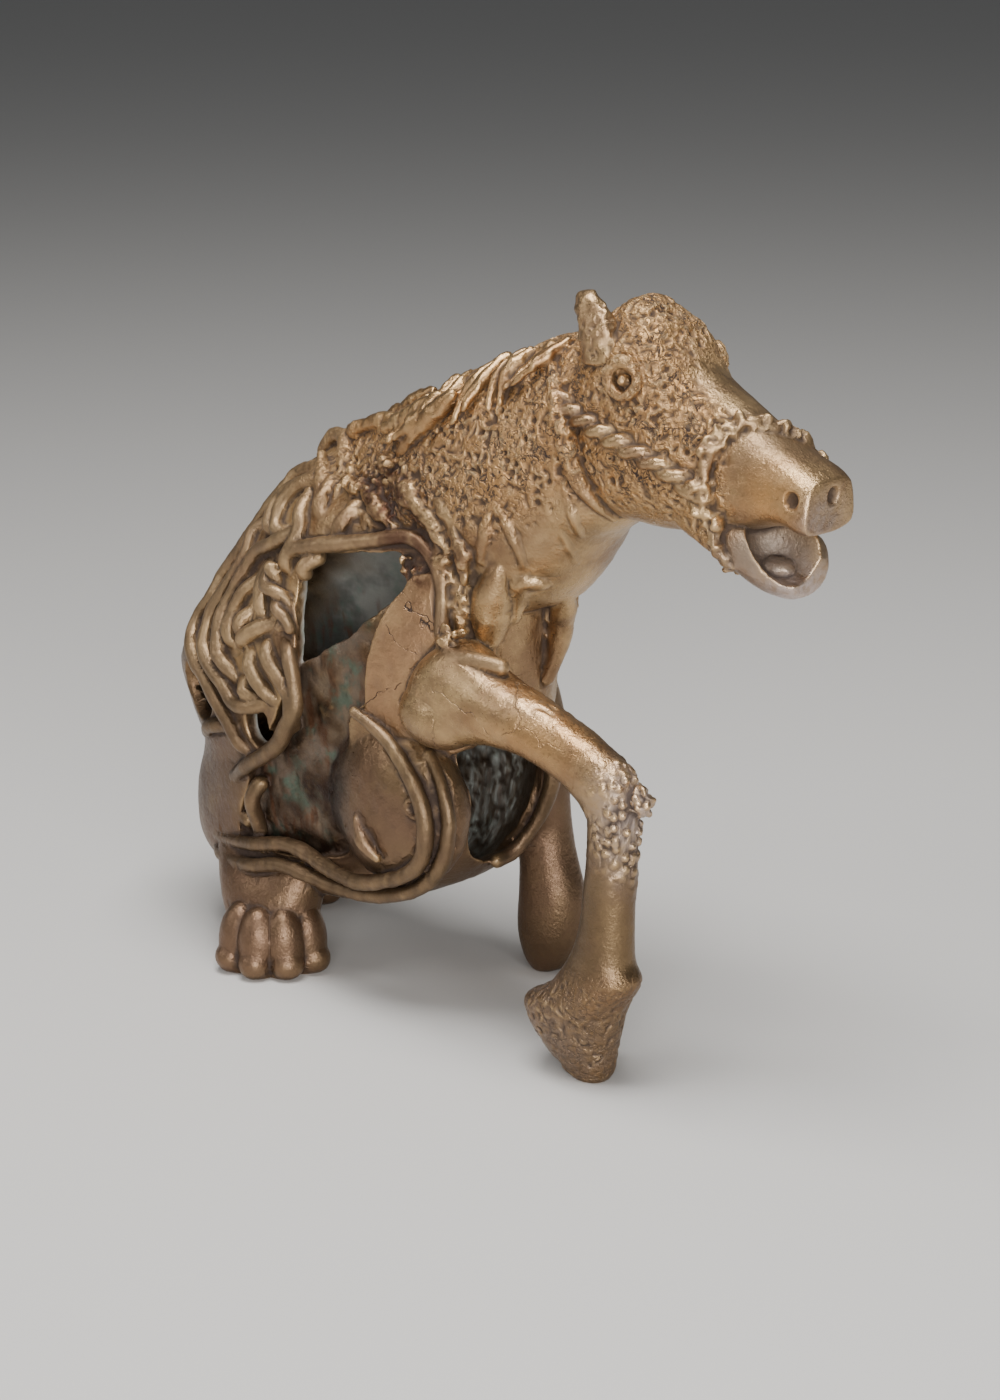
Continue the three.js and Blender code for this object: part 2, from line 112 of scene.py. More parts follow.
def noise(points, size, seed):
    """Value noise from -1 to 1: the lattice's eight corners, blended by 3t^2 - 2t^3."""
    q = points / size
    base = np.floor(q)
    t = q - base
    t = t * t * (3 - 2 * t)
    total = np.zeros(len(points))
    for corner in range(8):
        offset = np.array([corner & 1, corner >> 1 & 1, corner >> 2 & 1])
        weight = np.prod(np.where(offset, t, 1 - t), axis=1)
        total += weight * lattice(base + offset, SEED + seed)
    return 2 * total - 1


def layered(points, size, seed, layers=3):
    """Noise at a size, plus half as much at half the size, and so on."""
    total = np.zeros(len(points))
    for i in range(layers):
        total += noise(points, size / 2 ** i, seed + 11 * i) / 2 ** i
    return total / (2 - 0.5 ** (layers - 1))


def nearest_seed(points, size, seed):
    """The distance to the nearest of the points strewn one to a cell, in cells."""
    q = points / size
    base = np.floor(q)
    best = np.full(len(points), 9.0)
    for i in range(27):
        cell = base + np.array([i % 3 - 1, i // 3 % 3 - 1, i // 9 - 1])
        spot = np.stack([lattice(cell, SEED + seed + k) for k in (0, 1, 2)], axis=1)
        best = np.minimum(best, ((cell + spot - q) ** 2).sum(1))
    return np.sqrt(best)


# Surfaces

def row_at(rows, t):
    """Catmull-Rom through rows of numbers, t running from 0 to 1."""
    rows = np.asarray(rows, float)
    last = len(rows) - 1
    s = np.clip(np.asarray(t, float), 0, 1) * last
    i = np.minimum(np.floor(s).astype(int), last - 1)
    f = (s - i)[:, None]
    a, b, c, d = (rows[np.clip(i + k, 0, last)] for k in (-1, 0, 1, 2))
    return 0.5 * (2 * b + (c - a) * f + (2 * a - 5 * b + 4 * c - d) * f ** 2
                  + (3 * b - a - 3 * c + d) * f ** 3)


def skin(rings):
    """A closed surface over rings of points, an array of rings, points and xyz, with a pole in the
    middle of each end ring. Turned over if its signed volume is below zero."""
    count, around, _ = rings.shape
    points = np.vstack([rings.reshape(-1, 3), rings[0].mean(0), rings[-1].mean(0)])
    i, j = np.meshgrid(np.arange(count - 1), np.arange(around), indexing="ij")
    a, b = (i * around + j).ravel(), (i * around + (j + 1) % around).ravel()
    tris = [np.stack([a, b, a + around], 1), np.stack([b, b + around, a + around], 1)]
    j = np.arange(around)
    follow, end, pole = (j + 1) % around, (count - 1) * around, count * around
    tris.append(np.stack([np.full(around, pole), follow, j], 1))
    tris.append(np.stack([np.full(around, pole + 1), end + j, end + follow], 1))
    tris = np.vstack(tris)
    p = points[tris]
    volume = np.einsum("ij,ij->i", p[:, 0], np.cross(p[:, 1], p[:, 2])).sum()
    return points, tris if volume > 0 else tris[:, ::-1]


def limb(rows, around=72, along=90, fullness=2.2, narrowing=0.0):
    """Rings of |x|^n + |y|^n = 1 between a front and a back point, with a half width and a centre y,
    all run through the rows; n may change along them, and the side is narrowed towards the front."""
    t = np.linspace(0, 1, along + 1)
    row = row_at(rows, t)
    fullness = np.atleast_1d(fullness)
    fullness = np.interp(t, np.linspace(0, 1, len(fullness)), fullness)[:, None]
    angle = np.arange(around) / around * 2 * math.pi
    up = signed_power(np.sin(angle)[None, :], 2 / fullness)
    side = signed_power(np.cos(angle)[None, :], 2 / fullness) * (1 - narrowing * up)
    fx, fz, bx, bz, half, cy = (row[:, k:k + 1] for k in range(6))
    return skin(np.stack([(fx + bx) / 2 + (fx - bx) / 2 * up, cy + half * side,
                          (fz + bz) / 2 + (fz - bz) / 2 * up], axis=2))


def ball(centre, radii, around=40, down=28):
    """An ellipsoid: centre plus radii times the sine and cosine of the two angles."""
    polar = np.linspace(0.03, math.pi - 0.03, down)[:, None]
    angle = (np.arange(around) / around * 2 * math.pi)[None, :]
    unit = np.stack([np.sin(polar) * np.cos(angle), np.sin(polar) * np.sin(angle),
                     np.cos(polar) + 0 * angle], axis=2)
    return skin(np.asarray(centre) + unit * np.asarray(radii))


def route(points, spacing=0.7):
    """Points at even steps of arc length along a Catmull-Rom curve."""
    fine = row_at(points, np.linspace(0, 1, 40 * len(points)))
    length = np.concatenate([[0], np.cumsum(np.linalg.norm(np.diff(fine, axis=0), axis=1))])
    steps = np.linspace(0, length[-1], max(6, int(length[-1] / spacing)))
    return np.stack([np.interp(steps, length, fine[:, k]) for k in range(3)], axis=1)


def tube(points, widths, sides=14, uneven=0.05, seed=0):
    """A round profile carried along a route. Its width runs through the widths, its two ends are
    rounded, and slow noise makes it uneven."""
    centre = route(points)
    widths = np.atleast_1d(np.asarray(widths, float))
    t = np.linspace(0, 1, len(centre))
    radius = np.interp(t, np.linspace(0, 1, len(widths)), widths)[:, None] / 2
    tangent = np.gradient(centre, axis=0)
    tangent /= np.linalg.norm(tangent, axis=1, keepdims=True)
    chord = np.abs(tangent).mean(0)
    reference = np.eye(3)[np.argmin(chord)]
    normal = reference - (tangent @ reference)[:, None] * tangent
    normal /= np.linalg.norm(normal, axis=1, keepdims=True)
    cross = np.cross(tangent, normal)
    run = np.concatenate([[0], np.cumsum(np.linalg.norm(np.diff(centre, axis=0), axis=1))])
    from_end = np.minimum(run, run[-1] - run)[:, None]
    cap = np.sqrt(np.clip(1 - (1 - np.clip(from_end / radius, 0, 1)) ** 2, 0.02, 1))
    angle = (np.arange(sides) / sides * 2 * math.pi)[None, :]
    r = radius * cap * (1 + uneven * noise(np.stack([run, run * 0 + seed, run * 0], 1), 5.0, 3)[:, None])
    ring = centre[:, None] + normal[:, None] * (r * np.cos(angle))[..., None]
    return skin(ring + cross[:, None] * (r * np.sin(angle))[..., None])


def twisted(points, width, pitch, seed=0):
    """Two strands wound left-handed about a route: each runs a quarter of the whole width off it
    and turns once in a pitch, a half turn from the other."""
    centre = route(points)
    tangent = np.gradient(centre, axis=0)
    tangent /= np.linalg.norm(tangent, axis=1, keepdims=True)
    reference = np.eye(3)[np.argmin(np.abs(tangent).mean(0))]
    normal = reference - (tangent @ reference)[:, None] * tangent
    normal /= np.linalg.norm(normal, axis=1, keepdims=True)
    cross = np.cross(tangent, normal)
    turn = -np.linspace(0, len(centre) * 0.7 / pitch * 2 * math.pi, len(centre))[:, None]
    strands = []
    for start in (0, math.pi):
        away = normal * np.cos(turn + start) + cross * np.sin(turn + start)
        strands.append(tube(centre + width * 0.23 * away, width * 0.56, uneven=0.1, seed=seed))
    return strands


def lumps(centre, spread, count, width, seed):
    """Small balls strewn evenly in an ellipsoid, each from half of the width to all of it."""
    rng = np.random.default_rng(SEED + seed)
    away = rng.normal(size=(count, 3))
    away /= np.linalg.norm(away, axis=1, keepdims=True)
    spots = np.asarray(centre) + away * rng.random((count, 1)) ** (1 / 3) * np.asarray(spread)
    sizes = width / 2 * rng.uniform(0.5, 1.0, (count, 1)) * rng.uniform(0.5, 1.5, (count, 3))
    return [ball(spot, size, 16, 12) for spot, size in zip(spots, sizes)]


def strewn(points, reach, width, spacing, seed):
    """Small balls strewn along a route, a random step from it, each from half the width to all."""
    rng = np.random.default_rng(SEED + seed)
    spots = route(points, spacing)
    spots = spots + rng.uniform(-reach, reach, spots.shape)
    sizes = width / 2 * rng.uniform(0.5, 1.0, (len(spots), 1)) * rng.uniform(0.5, 1.5, spots.shape)
    return [ball(spot, size, 16, 12) for spot, size in zip(spots, sizes)]


def mirrored(points):
    """The same route on the far side."""
    return [[x, -y, z] for x, y, z in points]


def outline_block(outline, towards, near, far, ragged=0.0, seed=0):
    """A straight block: a closed smooth outline run between two depths, its edge torn by noise.
    Returns points and two many-sided ends with quads between them."""
    points = np.asarray(outline, float)
    closed = np.vstack([points[-1:], points, points[:2]])
    t = np.linspace(1, len(points) + 1, 12 * len(points), endpoint=False) / (len(closed) - 1)
    edge = row_at(closed, t)
    flat = np.column_stack([edge, np.zeros(len(edge))])
    edge = edge + ragged * np.column_stack([layered(flat, 5.0, seed), layered(flat, 5.0, seed + 50)])
    first, second = edge[:, :1], edge[:, 1:]
    ends = [np.hstack([first, 0 * first + depth, second]) if towards == "side"
            else np.hstack([0 * first + depth, first, second]) for depth in (near, far)]
    n = len(edge)
    i = np.arange(n)
    quads = np.stack([i, (i + 1) % n, (i + 1) % n + n, i + n], 1).tolist()
    return np.vstack(ends), quads + [list(range(n))[::-1], list(range(n, 2 * n))]


# Solids joined and cut

def put_mesh(name, points, faces):
    """An object of these points and faces."""
    mesh = bpy.data.meshes.new(name)
    mesh.from_pydata(np.asarray(points).tolist(), [], [list(f) for f in faces])
    mesh.update()
    obj = bpy.data.objects.new(name, mesh)
    bpy.context.scene.collection.objects.link(obj)
    return obj


def turned_out(obj):
    """The object with all its faces pointing outwards."""
    bm = bmesh.new()
    bm.from_mesh(obj.data)
    bmesh.ops.recalc_face_normals(bm, faces=bm.faces)
    bm.to_mesh(obj.data)
    bm.free()
    return obj


def evaluated(obj):
    """The points and triangles of an object with its modifiers applied."""
    mesh = bpy.data.meshes.new_from_object(obj.evaluated_get(bpy.context.evaluated_depsgraph_get()))
    points = np.empty(len(mesh.vertices) * 3)
    mesh.vertices.foreach_get("co", points)
    mesh.calc_loop_triangles()
    tris = np.empty(len(mesh.loop_triangles) * 3, int)
    mesh.loop_triangles.foreach_get("vertices", tris)
    bpy.data.meshes.remove(mesh)
    return points.reshape(-1, 3), tris.reshape(-1, 3)


def carved(shape, cutters, operation="DIFFERENCE"):
    """A shape cut by, joined to or kept within each of the cutters in turn."""
    objects = [turned_out(put_mesh("carving", *part)) for part in (shape, *cutters)]
    for cutter in objects[1:]:
        step = objects[0].modifiers.new("carve", "BOOLEAN")
        step.solver = "MANIFOLD"
        step.operation = operation
        step.object = cutter
    bpy.context.view_layer.update()
    result = evaluated(objects[0])
    for obj in objects:
        mesh = obj.data
        bpy.data.objects.remove(obj)
        bpy.data.meshes.remove(mesh)
    return result


# The figure's rows and routes

# The trunk in level sections: height, back x, front x, half width
TRUNK_ROWS = np.array([
    [13, -74, -32, 9], [17, -79, -18, 17], [24, -80.5, -4, 21], [33, -79.5, 5, 22.5],
    [43, -76.5, 10, 23.5], [50, -80.5, 11, 24], [60, -84, 12, 24.5], [70, -77, 13, 24],
    [80, -68, 14, 22.8], [92, -59, 15, 20.5], [101, -51, 14, 17.5], [108, -44, 8, 13],
    [112, -40, 0, 8],
], float)
TRUNK_FULLNESS = 2.4
WALL = 3.0
TRUNK_REACH = (13, 112)
HOLLOW = (20, 103)
# Between which depths the outlines cut: the near flank and the plate along Y, the chest along X
FLANK_CUT, PLATE_CUT, CHEST_CUT = (-4, -44), (-10, -40), (-12, 40)
SHEET_LIFT, SHEET_DEPTH = 0.6, 1.9  # the sheet's face and back from the wall's inner face
PLATE_REACH, PLATE_LIFT = (50, 100), 1.5
# Holes between the wires: angle and height on the trunk, and how far each reaches
WIRE_HOLES = [((124, 57), (7, 6.5, 7.5)), ((96, 54), (3.8, 6, 4.8))]

WINDOW = [
    [-31, 92], [-22, 94], [-13, 95.5], [-5, 96], [-3, 86], [-1, 80], [-5, 74], [-8, 68], [-16, 61],
    [-16, 53], [-18, 44], [-21, 30], [-51, 26], [-47, 41], [-42, 49], [-35, 60], [-31, 72], [-32, 82],
]
SHEET = [
    [-3, 86], [-3, 74], [-8, 64], [-13, 59], [-13, 50], [-15, 42], [-18, 26], [-55, 22], [-51, 42],
    [-46, 47], [-39, 52], [-36, 60], [-33, 67], [-27, 71.5], [-20, 76], [-13, 81.5], [-8, 86],
]
CHEST_OPENING = [
    [-12.5, 62], [-11.5, 46], [-8.5, 34], [-3, 29.5], [3, 28.5], [8.5, 30], [11, 40], [12, 52], [9, 62],
]
NECK_ROWS = [
    [-40, 113.5, -12, 92, 8, 0], [-31, 116.5, 4, 84, 15, 0], [-22, 120.5, 19, 87, 16.5, 0],
    [-10, 126, 25, 91, 17, 0], [0, 132, 30, 97, 16, 0], [10, 136, 34, 103, 15, 0],
    [21, 141, 39, 107, 13.5, 0], [30, 143, 44, 112, 11, 0],
]
MANE_LOCKS = [
    [[27, -4, 142], [25, -10.5, 137], [23, -13.5, 131]],
    [[19, -4, 139.5], [16.5, -10.5, 134.5], [14, -14, 128]],
    [[12, -4, 137], [10.5, -11, 131.5], [8, -14.5, 125.5]],
    [[5, -4, 134], [4, -11.5, 128.5], [1, -15, 122.5]],
    [[-2, -4, 131], [-4, -11.5, 125], [-8, -15, 118]],
    [[-10, -4, 126.5], [-12, -11, 120.5], [-16, -14, 114]],
]
HEAD_ROWS = [
    [29, 141, 35, 112, 9, 0], [35, 147, 40, 109, 12, 0], [43, 152, 48, 108.5, 12.5, 0],
    [51, 148.5, 56, 109, 12, 0], [57.5, 140.5, 63, 109.5, 10.8, 0], [67, 135, 69, 110.5, 9.4, 0],
    [76, 130, 75, 113, 8.4, 0], [82, 127, 80.4, 114.2, 8, 0], [86, 125.4, 85, 113.6, 7.7, -0.4],
    [88.6, 124, 88, 113.8, 6.8, -0.8],
]
JAW_ROWS = [
    [56, 118, 58, 108.5, 8, 0], [64, 117, 65, 106.5, 9, 0], [71, 115, 70, 103.5, 8.8, 0],
    [77, 113.5, 75, 101, 8, 0], [82, 112, 79.5, 99.8, 6.8, 0.5], [84, 108, 82, 100.5, 4.5, 1],
]
NEAR_EAR_ROWS = [
    [43.5, 140, 35, 139, 2.6, -9], [43, 146, 34.6, 144, 2.8, -9], [40, 150, 33, 148.5, 2.4, -8.6],
    [36.4, 153, 33, 151.8, 1.3, -8],
]
FAR_EAR_ROWS = [[43, 143, 35, 142, 2.6, 8], [42, 149, 37, 148, 1.8, 8]]
ROPE = [
    [30, -11, 132.5], [35, -12, 130], [42, -13, 128], [49, -13, 126], [55, -12.3, 123.8],
    [61, -11.3, 121.3], [65.5, -10.3, 117.5], [68, -9.5, 113],
]
NOSEBAND = [
    [70, -5, 105], [69, -9.4, 110], [67, -10.2, 116], [66, -10.5, 122], [67, -9.6, 127],
    [69, -6.5, 131], [73, -1, 131], [76.5, 4.5, 128], [77, 8, 123], [76, 8.8, 117], [74, 8.5, 111],
    [71, 5, 105],
]
NOSTRILS = [[84.8, -8.1, 120.6], [88.6, 0, 120.8]]
EYE = [48, -12.6, 138.4]
NEAR_FORE_ROWS = [
    [0, 74, -1, 62, 4, -18], [5, 79, 2, 60, 6.5, -18.5], [12, 82, 10, 60, 8, -18],
    [23, 77.5, 22, 63, 7, -19], [35, 74.2, 33, 62.5, 6, -19], [47, 69.8, 42, 59.5, 5.4, -19],
    [56.5, 64.5, 47, 55, 5, -19], [58.5, 57, 47.5, 51, 4.8, -19], [57.5, 47, 47.3, 46, 4.5, -19],
    [57, 36, 46, 35, 4.7, -19], [57, 27, 44, 27, 5.2, -19], [58.5, 22.5, 39, 19, 6.5, -19],
    [55, 16.5, 32, 14, 7.4, -19], [53, 9, 35, 7, 6.2, -18.5], [51.5, 3, 40, 2, 4.4, -18],
    [50.5, 0, 43, 0, 3.4, -18],
]
FAR_FORE_ROWS = [
    [1, 82, -12, 76, 5, 13], [1, 70, -11, 66, 6, 16], [3, 56, -8, 56, 6, 18.5],
    [4.5, 44, -6, 44, 5.2, 19], [5, 34, -6, 34, 5, 19], [6.5, 26, -6, 26, 5.4, 19],
    [9, 17, -6, 18, 6.2, 19], [9, 8, -6, 9, 6.6, 19], [6, 2, -4.5, 3, 5.4, 19],
    [3.5, 0, -2, 0, 4, 19],
]
SHOULDER_PLATE = [
    [-6, 86], [-9, 78.5], [-10.5, 70.5], [-10.5, 64], [-8, 61], [-5, 58], [3, 56], [10, 60], [15, 79],
    [12, 90], [5, 94], [-1, 93], [-3, 90],
]
NEAR_HOCK_ROWS = [[-32, 28, -66, 26, 8, -12], [-33, 18, -60, 17, 9, -17], [-34, 9, -54, 9, 8.5, -19.5]]
FAR_HOCK_ROWS = [[-58, 30, -80, 30, 7, 9], [-61, 19, -82, 19, 8, 12], [-63, 9, -81, 9, 8, 14]]
HAUNCH_RIDGE = [[-11, -26.5, 43], [-8, -27, 38], [-4, -26, 34]]

# Wires laid over the rump and near flank: angle and height on the trunk
RUMP_WIRES = [
    [[127, 109], [157, 105], [157, 102], [155, 99], [155, 95], [153, 91], [153, 85], [154, 80],
     [146, 76], [144, 71], [136, 67], [125, 64], [115, 61], [110, 57], [106, 53], [103, 49], [100, 46]],
    [[145, 95], [143, 92], [137, 89], [134, 86], [134, 80], [132, 75], [128, 71], [122, 67], [114, 64],
     [106, 61], [102, 58], [97, 58], [92, 60]],
    [[108, 97], [112, 95], [119, 92], [126, 89], [126, 80], [123, 75], [118, 71], [113, 67], [107, 65],
     [102, 62]],
    [[118, 85], [119, 81], [118, 77], [114, 72], [110, 69]],
    [[116, 105], [128, 105], [133, 103], [133, 100], [128, 97], [122, 95], [114, 94]],
    [[131, 106], [137, 103], [141, 100], [139, 98], [132, 95], [125, 93]],
    [[126, 104], [115, 100], [109, 97], [107, 93], [106, 90], [104, 87]],
    [[115, 107], [108, 103], [105, 99]],
    [[93, 104], [93, 100], [94, 96]],
    [[118, 89], [112, 85], [107, 80], [103, 76]],
    [[112, 78], [111, 75], [109, 72]],
    [[99, 77], [103, 75], [106, 72], [108, 70]],
    [[104, 71], [99, 67], [93, 63], [90, 60]],
    [[99, 73], [95, 70], [90, 66], [87, 63], [86, 59], [88, 55]],
    [[94, 74], [90, 71], [87, 66], [85, 61], [87, 57], [90, 52], [95, 48], [104, 44], [115, 39]],
    [[101, 64], [98, 61], [94, 60]],
    [[141, 45], [117, 50], [102, 53]],
    [[96, 93], [98, 90], [97, 87]],
    [[100, 42], [100, 37], [96, 28]],
    [[107, 32], [101, 29]],
]
FAR_WIRES = [
    [[165, 108], [172, 96], [176, 80], [172, 66], [164, 54]],
    [[185, 107], [192, 92], [195, 76], [188, 62], [180, 50]],
    [[205, 104], [214, 90], [216, 74], [208, 58], [196, 46]],
]
TWISTED_WIRE = [[111, 89], [106, 85], [99, 82], [95, 79], [93, 76]]
CHEST_RIM = [[337, 52], [336, 44], [339, 36], [348, 29.5], [0, 28.5]]
SHOULDER_WIRE_ON_TRUNK = [[108, 92], [96, 95], [83, 98], [70, 100], [61, 99], [53, 95.5], [48, 91]]
SHOULDER_WIRE_END = [[6.5, -18.5, 85], [8.5, -20, 81], [13, -21.5, 79.5], [19, -20.5, 79.5], [25, -18.5, 79]]
BANDS = [
    [[-73, -13, 24], [-60, -18.5, 24], [-47, -22.5, 26.5], [-36, -22.5, 29], [-29, -22.5, 28.5],
     [-21, -24, 27.5], [-12, -25, 27.5], [-2, -25, 30.5], [5, -24.5, 35], [7.5, -24.5, 42],
     [6, -24.5, 49], [1, -24, 55], [-5, -24, 60], [-14, -24.5, 64]],
    [[-70, -9, 20], [-61, -18.5, 20], [-47, -23.4, 22], [-37, -23.6, 24.5], [-29, -23, 24],
     [-20, -22.5, 23.5], [-9, -22.5, 24.5], [2, -22, 28.5], [8.5, -21.5, 35], [11, -21.5, 43],
     [9, -21, 51], [3, -19.5, 58]],
]
BAND_WIDTHS = [3, 3.3, 3.3, 3.3, 3.2, 2.4]
FOLD_WIDTHS = [3.4, 7, 3.4]
CHEST_FOLDS = [
    [[56, 101], [50, 96], [44, 90]],
    [[40, 96], [38, 88], [36, 80]],
    [[25, 90], [24, 84], [27, 78]],
    [[354, 91], [349, 81], [353, 69]],
    [[334, 96], [331, 84], [336, 72]],
]
WITHERS_KNOT = [[-43, -4, 108], [-39, -4, 113], [-33, -7, 113.5], [-29, -11, 108], [-27, -15, 102]]
WITHERS_END = [[-38, -9, 111], [-33, -13, 105], [-30, -17, 98]]
# How far a lock may stray along each axis at its root, middle and tip
MANE_STRAY = [[1, 0, 0.4], [1.2, 0.4, 1], [3.6, 0.3, 2.8]]
# Long strands of wax along the crest, behind the locks
CREST_STRANDS = [
    [[5, -13.2, 130], [-3.6, -13.2, 122], [-11.5, -12.8, 114.6]],
    [[-1, -10.5, 128.4], [-10.1, -10.8, 122.6], [-21, -8, 117.4]],
    [[-36, -5, 113], [-27, -7, 117.5], [-17, -8, 121]],
    [[-30, 1, 116.5], [-20, -2, 121.5], [-10, -3, 127]],
]
# Raised edges where one sheet of wax was pressed over the next: neck over cheek, and the throat
NECK_EDGES = [
    ([[26, -8, 138], [32, -13, 130.5], [34.5, -12.8, 124], [37, -12.2, 117], [39.5, -9.3, 112],
      [40.5, -5, 108.7]], [1.4, 2.8, 2.8, 2.4, 1.2]),
    ([[33.4, -13.1, 117.3], [34.3, -10.6, 108.8], [33, -6.8, 104.6]], [1, 1.8, 1]),
    ([[30.5, -11.6, 107.5], [30.8, -8.8, 103.2], [29.9, -4.6, 97.9]], [0.9, 1.7, 0.9]),
    ([[17.8, -15.8, 110.9], [16.5, -16.1, 104.8], [14.2, -15.4, 97.2]], [1, 2.4, 1.6]),
    ([[17.8, -15.8, 110.9], [21.2, -15.5, 107.1], [22.9, -13.8, 101.4], [22.8, -12.4, 97.2]],
     [1, 1.8, 1.2]),
]
# Folds of wax that hang from the neck over the chest
HANGING_FOLDS = [
    ([[18.5, -14.2, 99], [16.2, -13.2, 94], [13.6, -11.8, 88], [13, -12, 79]], [3, 7.5, 8, 5]),
    ([[15.5, -8.5, 84], [17.5, -8.8, 90], [21.5, -10.6, 94.6], [25.5, -7.5, 93.5]], [4, 5, 5, 3]),
    ([[24, -2, 93], [18, 4, 84], [15.5, 5, 76], [13, 4, 68]], [3, 5, 4.6, 3]),
]
# Chunky folds of rough wax on the upper flank, from the withers to the shoulder wire
FLANK_FOLDS = [
    ([[-22, -13.4, 108], [-15, -15.8, 105], [-9, -17.1, 101.5], [-6, -17.4, 99.5]], [2.2, 4.4, 4, 2]),
    ([[-14, -13, 112], [-5, -15.4, 108], [3, -16.5, 103], [7, -17, 98]], [2.2, 5, 4.6, 2.4]),
    ([[-3, -14, 112.5], [5, -15.3, 107], [10, -15.8, 100], [11, -16.5, 92]], [2.2, 4.6, 5.2, 3]),
    ([[-25, -14, 104.5], [-19, -16, 101.5], [-13, -17.2, 100]], [2, 3.6, 2.2]),
]
# Ragged lumps: the middle, how far it spreads each way, how many grains and how wide they are
LUMPS = [
    ([-24, -12, 107.5], [6, 4, 5], 14, 3.6),
    ([-12, -14.2, 109.5], [9, 1.6, 5.5], 30, 2.3),
    ([-3, -18.3, 94.5], [3.2, 1.2, 2], 6, 2.6),
    ([11.5, -20.5, 83.5], [3.2, 2, 2.6], 8, 3.0),
    ([59.5, -19.5, 60], [1.6, 2.2, 2.6], 6, 3.0),
    ([36, -6, 110], [5, 5, 2], 8, 2.4),
]
CRATER = [4, -24.8, 47]
# Dark specks on the shoulder plate: along and up
PLATE_SPOTS = [(-6.5, 80), (-4.5, 74.5), (-7.5, 70), (-2, 67), (-0.5, 84), (1.5, 78)]


def trunk_point(angle, height, lift=0.0):
    """A point of the trunk's level section, which is |x|^n + |y|^n = 1 between its back and front:
    angle 0 is the chest and 90 the near flank. The lift stands it off the face."""
    angle, height = np.broadcast_arrays(np.asarray(angle, float), np.asarray(height, float))
    rows = np.interp(height.ravel(), TRUNK_ROWS[:, 0], np.arange(len(TRUNK_ROWS)))
    row = row_at(TRUNK_ROWS, rows / (len(TRUNK_ROWS) - 1)).reshape(*height.shape, 4)
    c = signed_power(np.cos(np.radians(angle)), 2 / TRUNK_FULLNESS)
    s = signed_power(np.sin(np.radians(angle)), 2 / TRUNK_FULLNESS)
    back, front, half = row[..., 1], row[..., 2], row[..., 3]
    return np.stack([(back + front) / 2 + ((front - back) / 2 + lift) * c, -(half + lift) * s, height],
                    axis=-1)


def trunk_skin(low, high, lift, around=160, along=120):
    """The trunk's level sections from one height to another, stood off by the lift."""
    height = np.linspace(low, high, along)[:, None]
    angle = (np.arange(around) / around * 360)[None, :]
    return skin(trunk_point(angle, height, lift))


def on_trunk(pairs, lift):
    """A route of angle and height on the trunk, as points."""
    pairs = np.asarray(pairs, float)
    return trunk_point(pairs[:, 0], pairs[:, 1], lift)


def laid_on_trunk(pairs, lift=0.85, sunk=-1.6):
    """A route laid on the trunk whose two ends sink into it."""
    lifts = np.full(len(pairs), lift)
    lifts[[0, -1]] = sunk
    return on_trunk(pairs, lifts)


def depth_in_trunk(points):
    """How far a point lies inside the trunk's face: one less the section's n-norm, times its
    smaller half width. Below zero outside."""
    rows = np.interp(points[:, 2], TRUNK_ROWS[:, 0], np.arange(len(TRUNK_ROWS)))
    row = row_at(TRUNK_ROWS, rows / (len(TRUNK_ROWS) - 1))
    middle, reach, half = (row[:, 1] + row[:, 2]) / 2, (row[:, 2] - row[:, 1]) / 2, row[:, 3]
    x, y = np.abs(points[:, 0] - middle) / reach, np.abs(points[:, 1]) / half
    norm = (x ** TRUNK_FULLNESS + y ** TRUNK_FULLNESS) ** (1 / TRUNK_FULLNESS)
    return (1 - norm) * np.minimum(reach, half)


# The wax parts

# What each part of the wax is, kept on the joined mesh for the relief and the finish
PARTS = ("head", "neck", "mane", "rope", "wire", "leg", "haunch", "sheet", "plate", "lump", "trunk")


def body_parts():
    """The hollow trunk with its torn window, chest opening and rump hole, the rough sheet set back
    in the window, and the raised plate of the shoulder."""
    hollow = trunk_skin(*HOLLOW, -WALL)
    window = outline_block(WINDOW, "side", *FLANK_CUT, ragged=0.5, seed=3)
    chest = outline_block(CHEST_OPENING, "front", *CHEST_CUT, ragged=0.5, seed=4)
    holes = [ball(trunk_point(*place), reach) for place, reach in WIRE_HOLES]
    shell = carved(trunk_skin(*TRUNK_REACH, 0), [hollow, window, chest, *holes])
    sheet = carved(trunk_skin(*TRUNK_REACH, SHEET_LIFT - WALL), [trunk_skin(*HOLLOW, -WALL - SHEET_DEPTH)])
    sheet = carved(sheet, [outline_block(SHEET, "side", *FLANK_CUT, ragged=0.9, seed=5)], "INTERSECT")
    plate = carved(trunk_skin(*PLATE_REACH, PLATE_LIFT), [outline_block(SHOULDER_PLATE, "side", *PLATE_CUT)],
                   "INTERSECT")
    return hollow, [(shell, "trunk"), (sheet, "sheet"), (plate, "plate")]


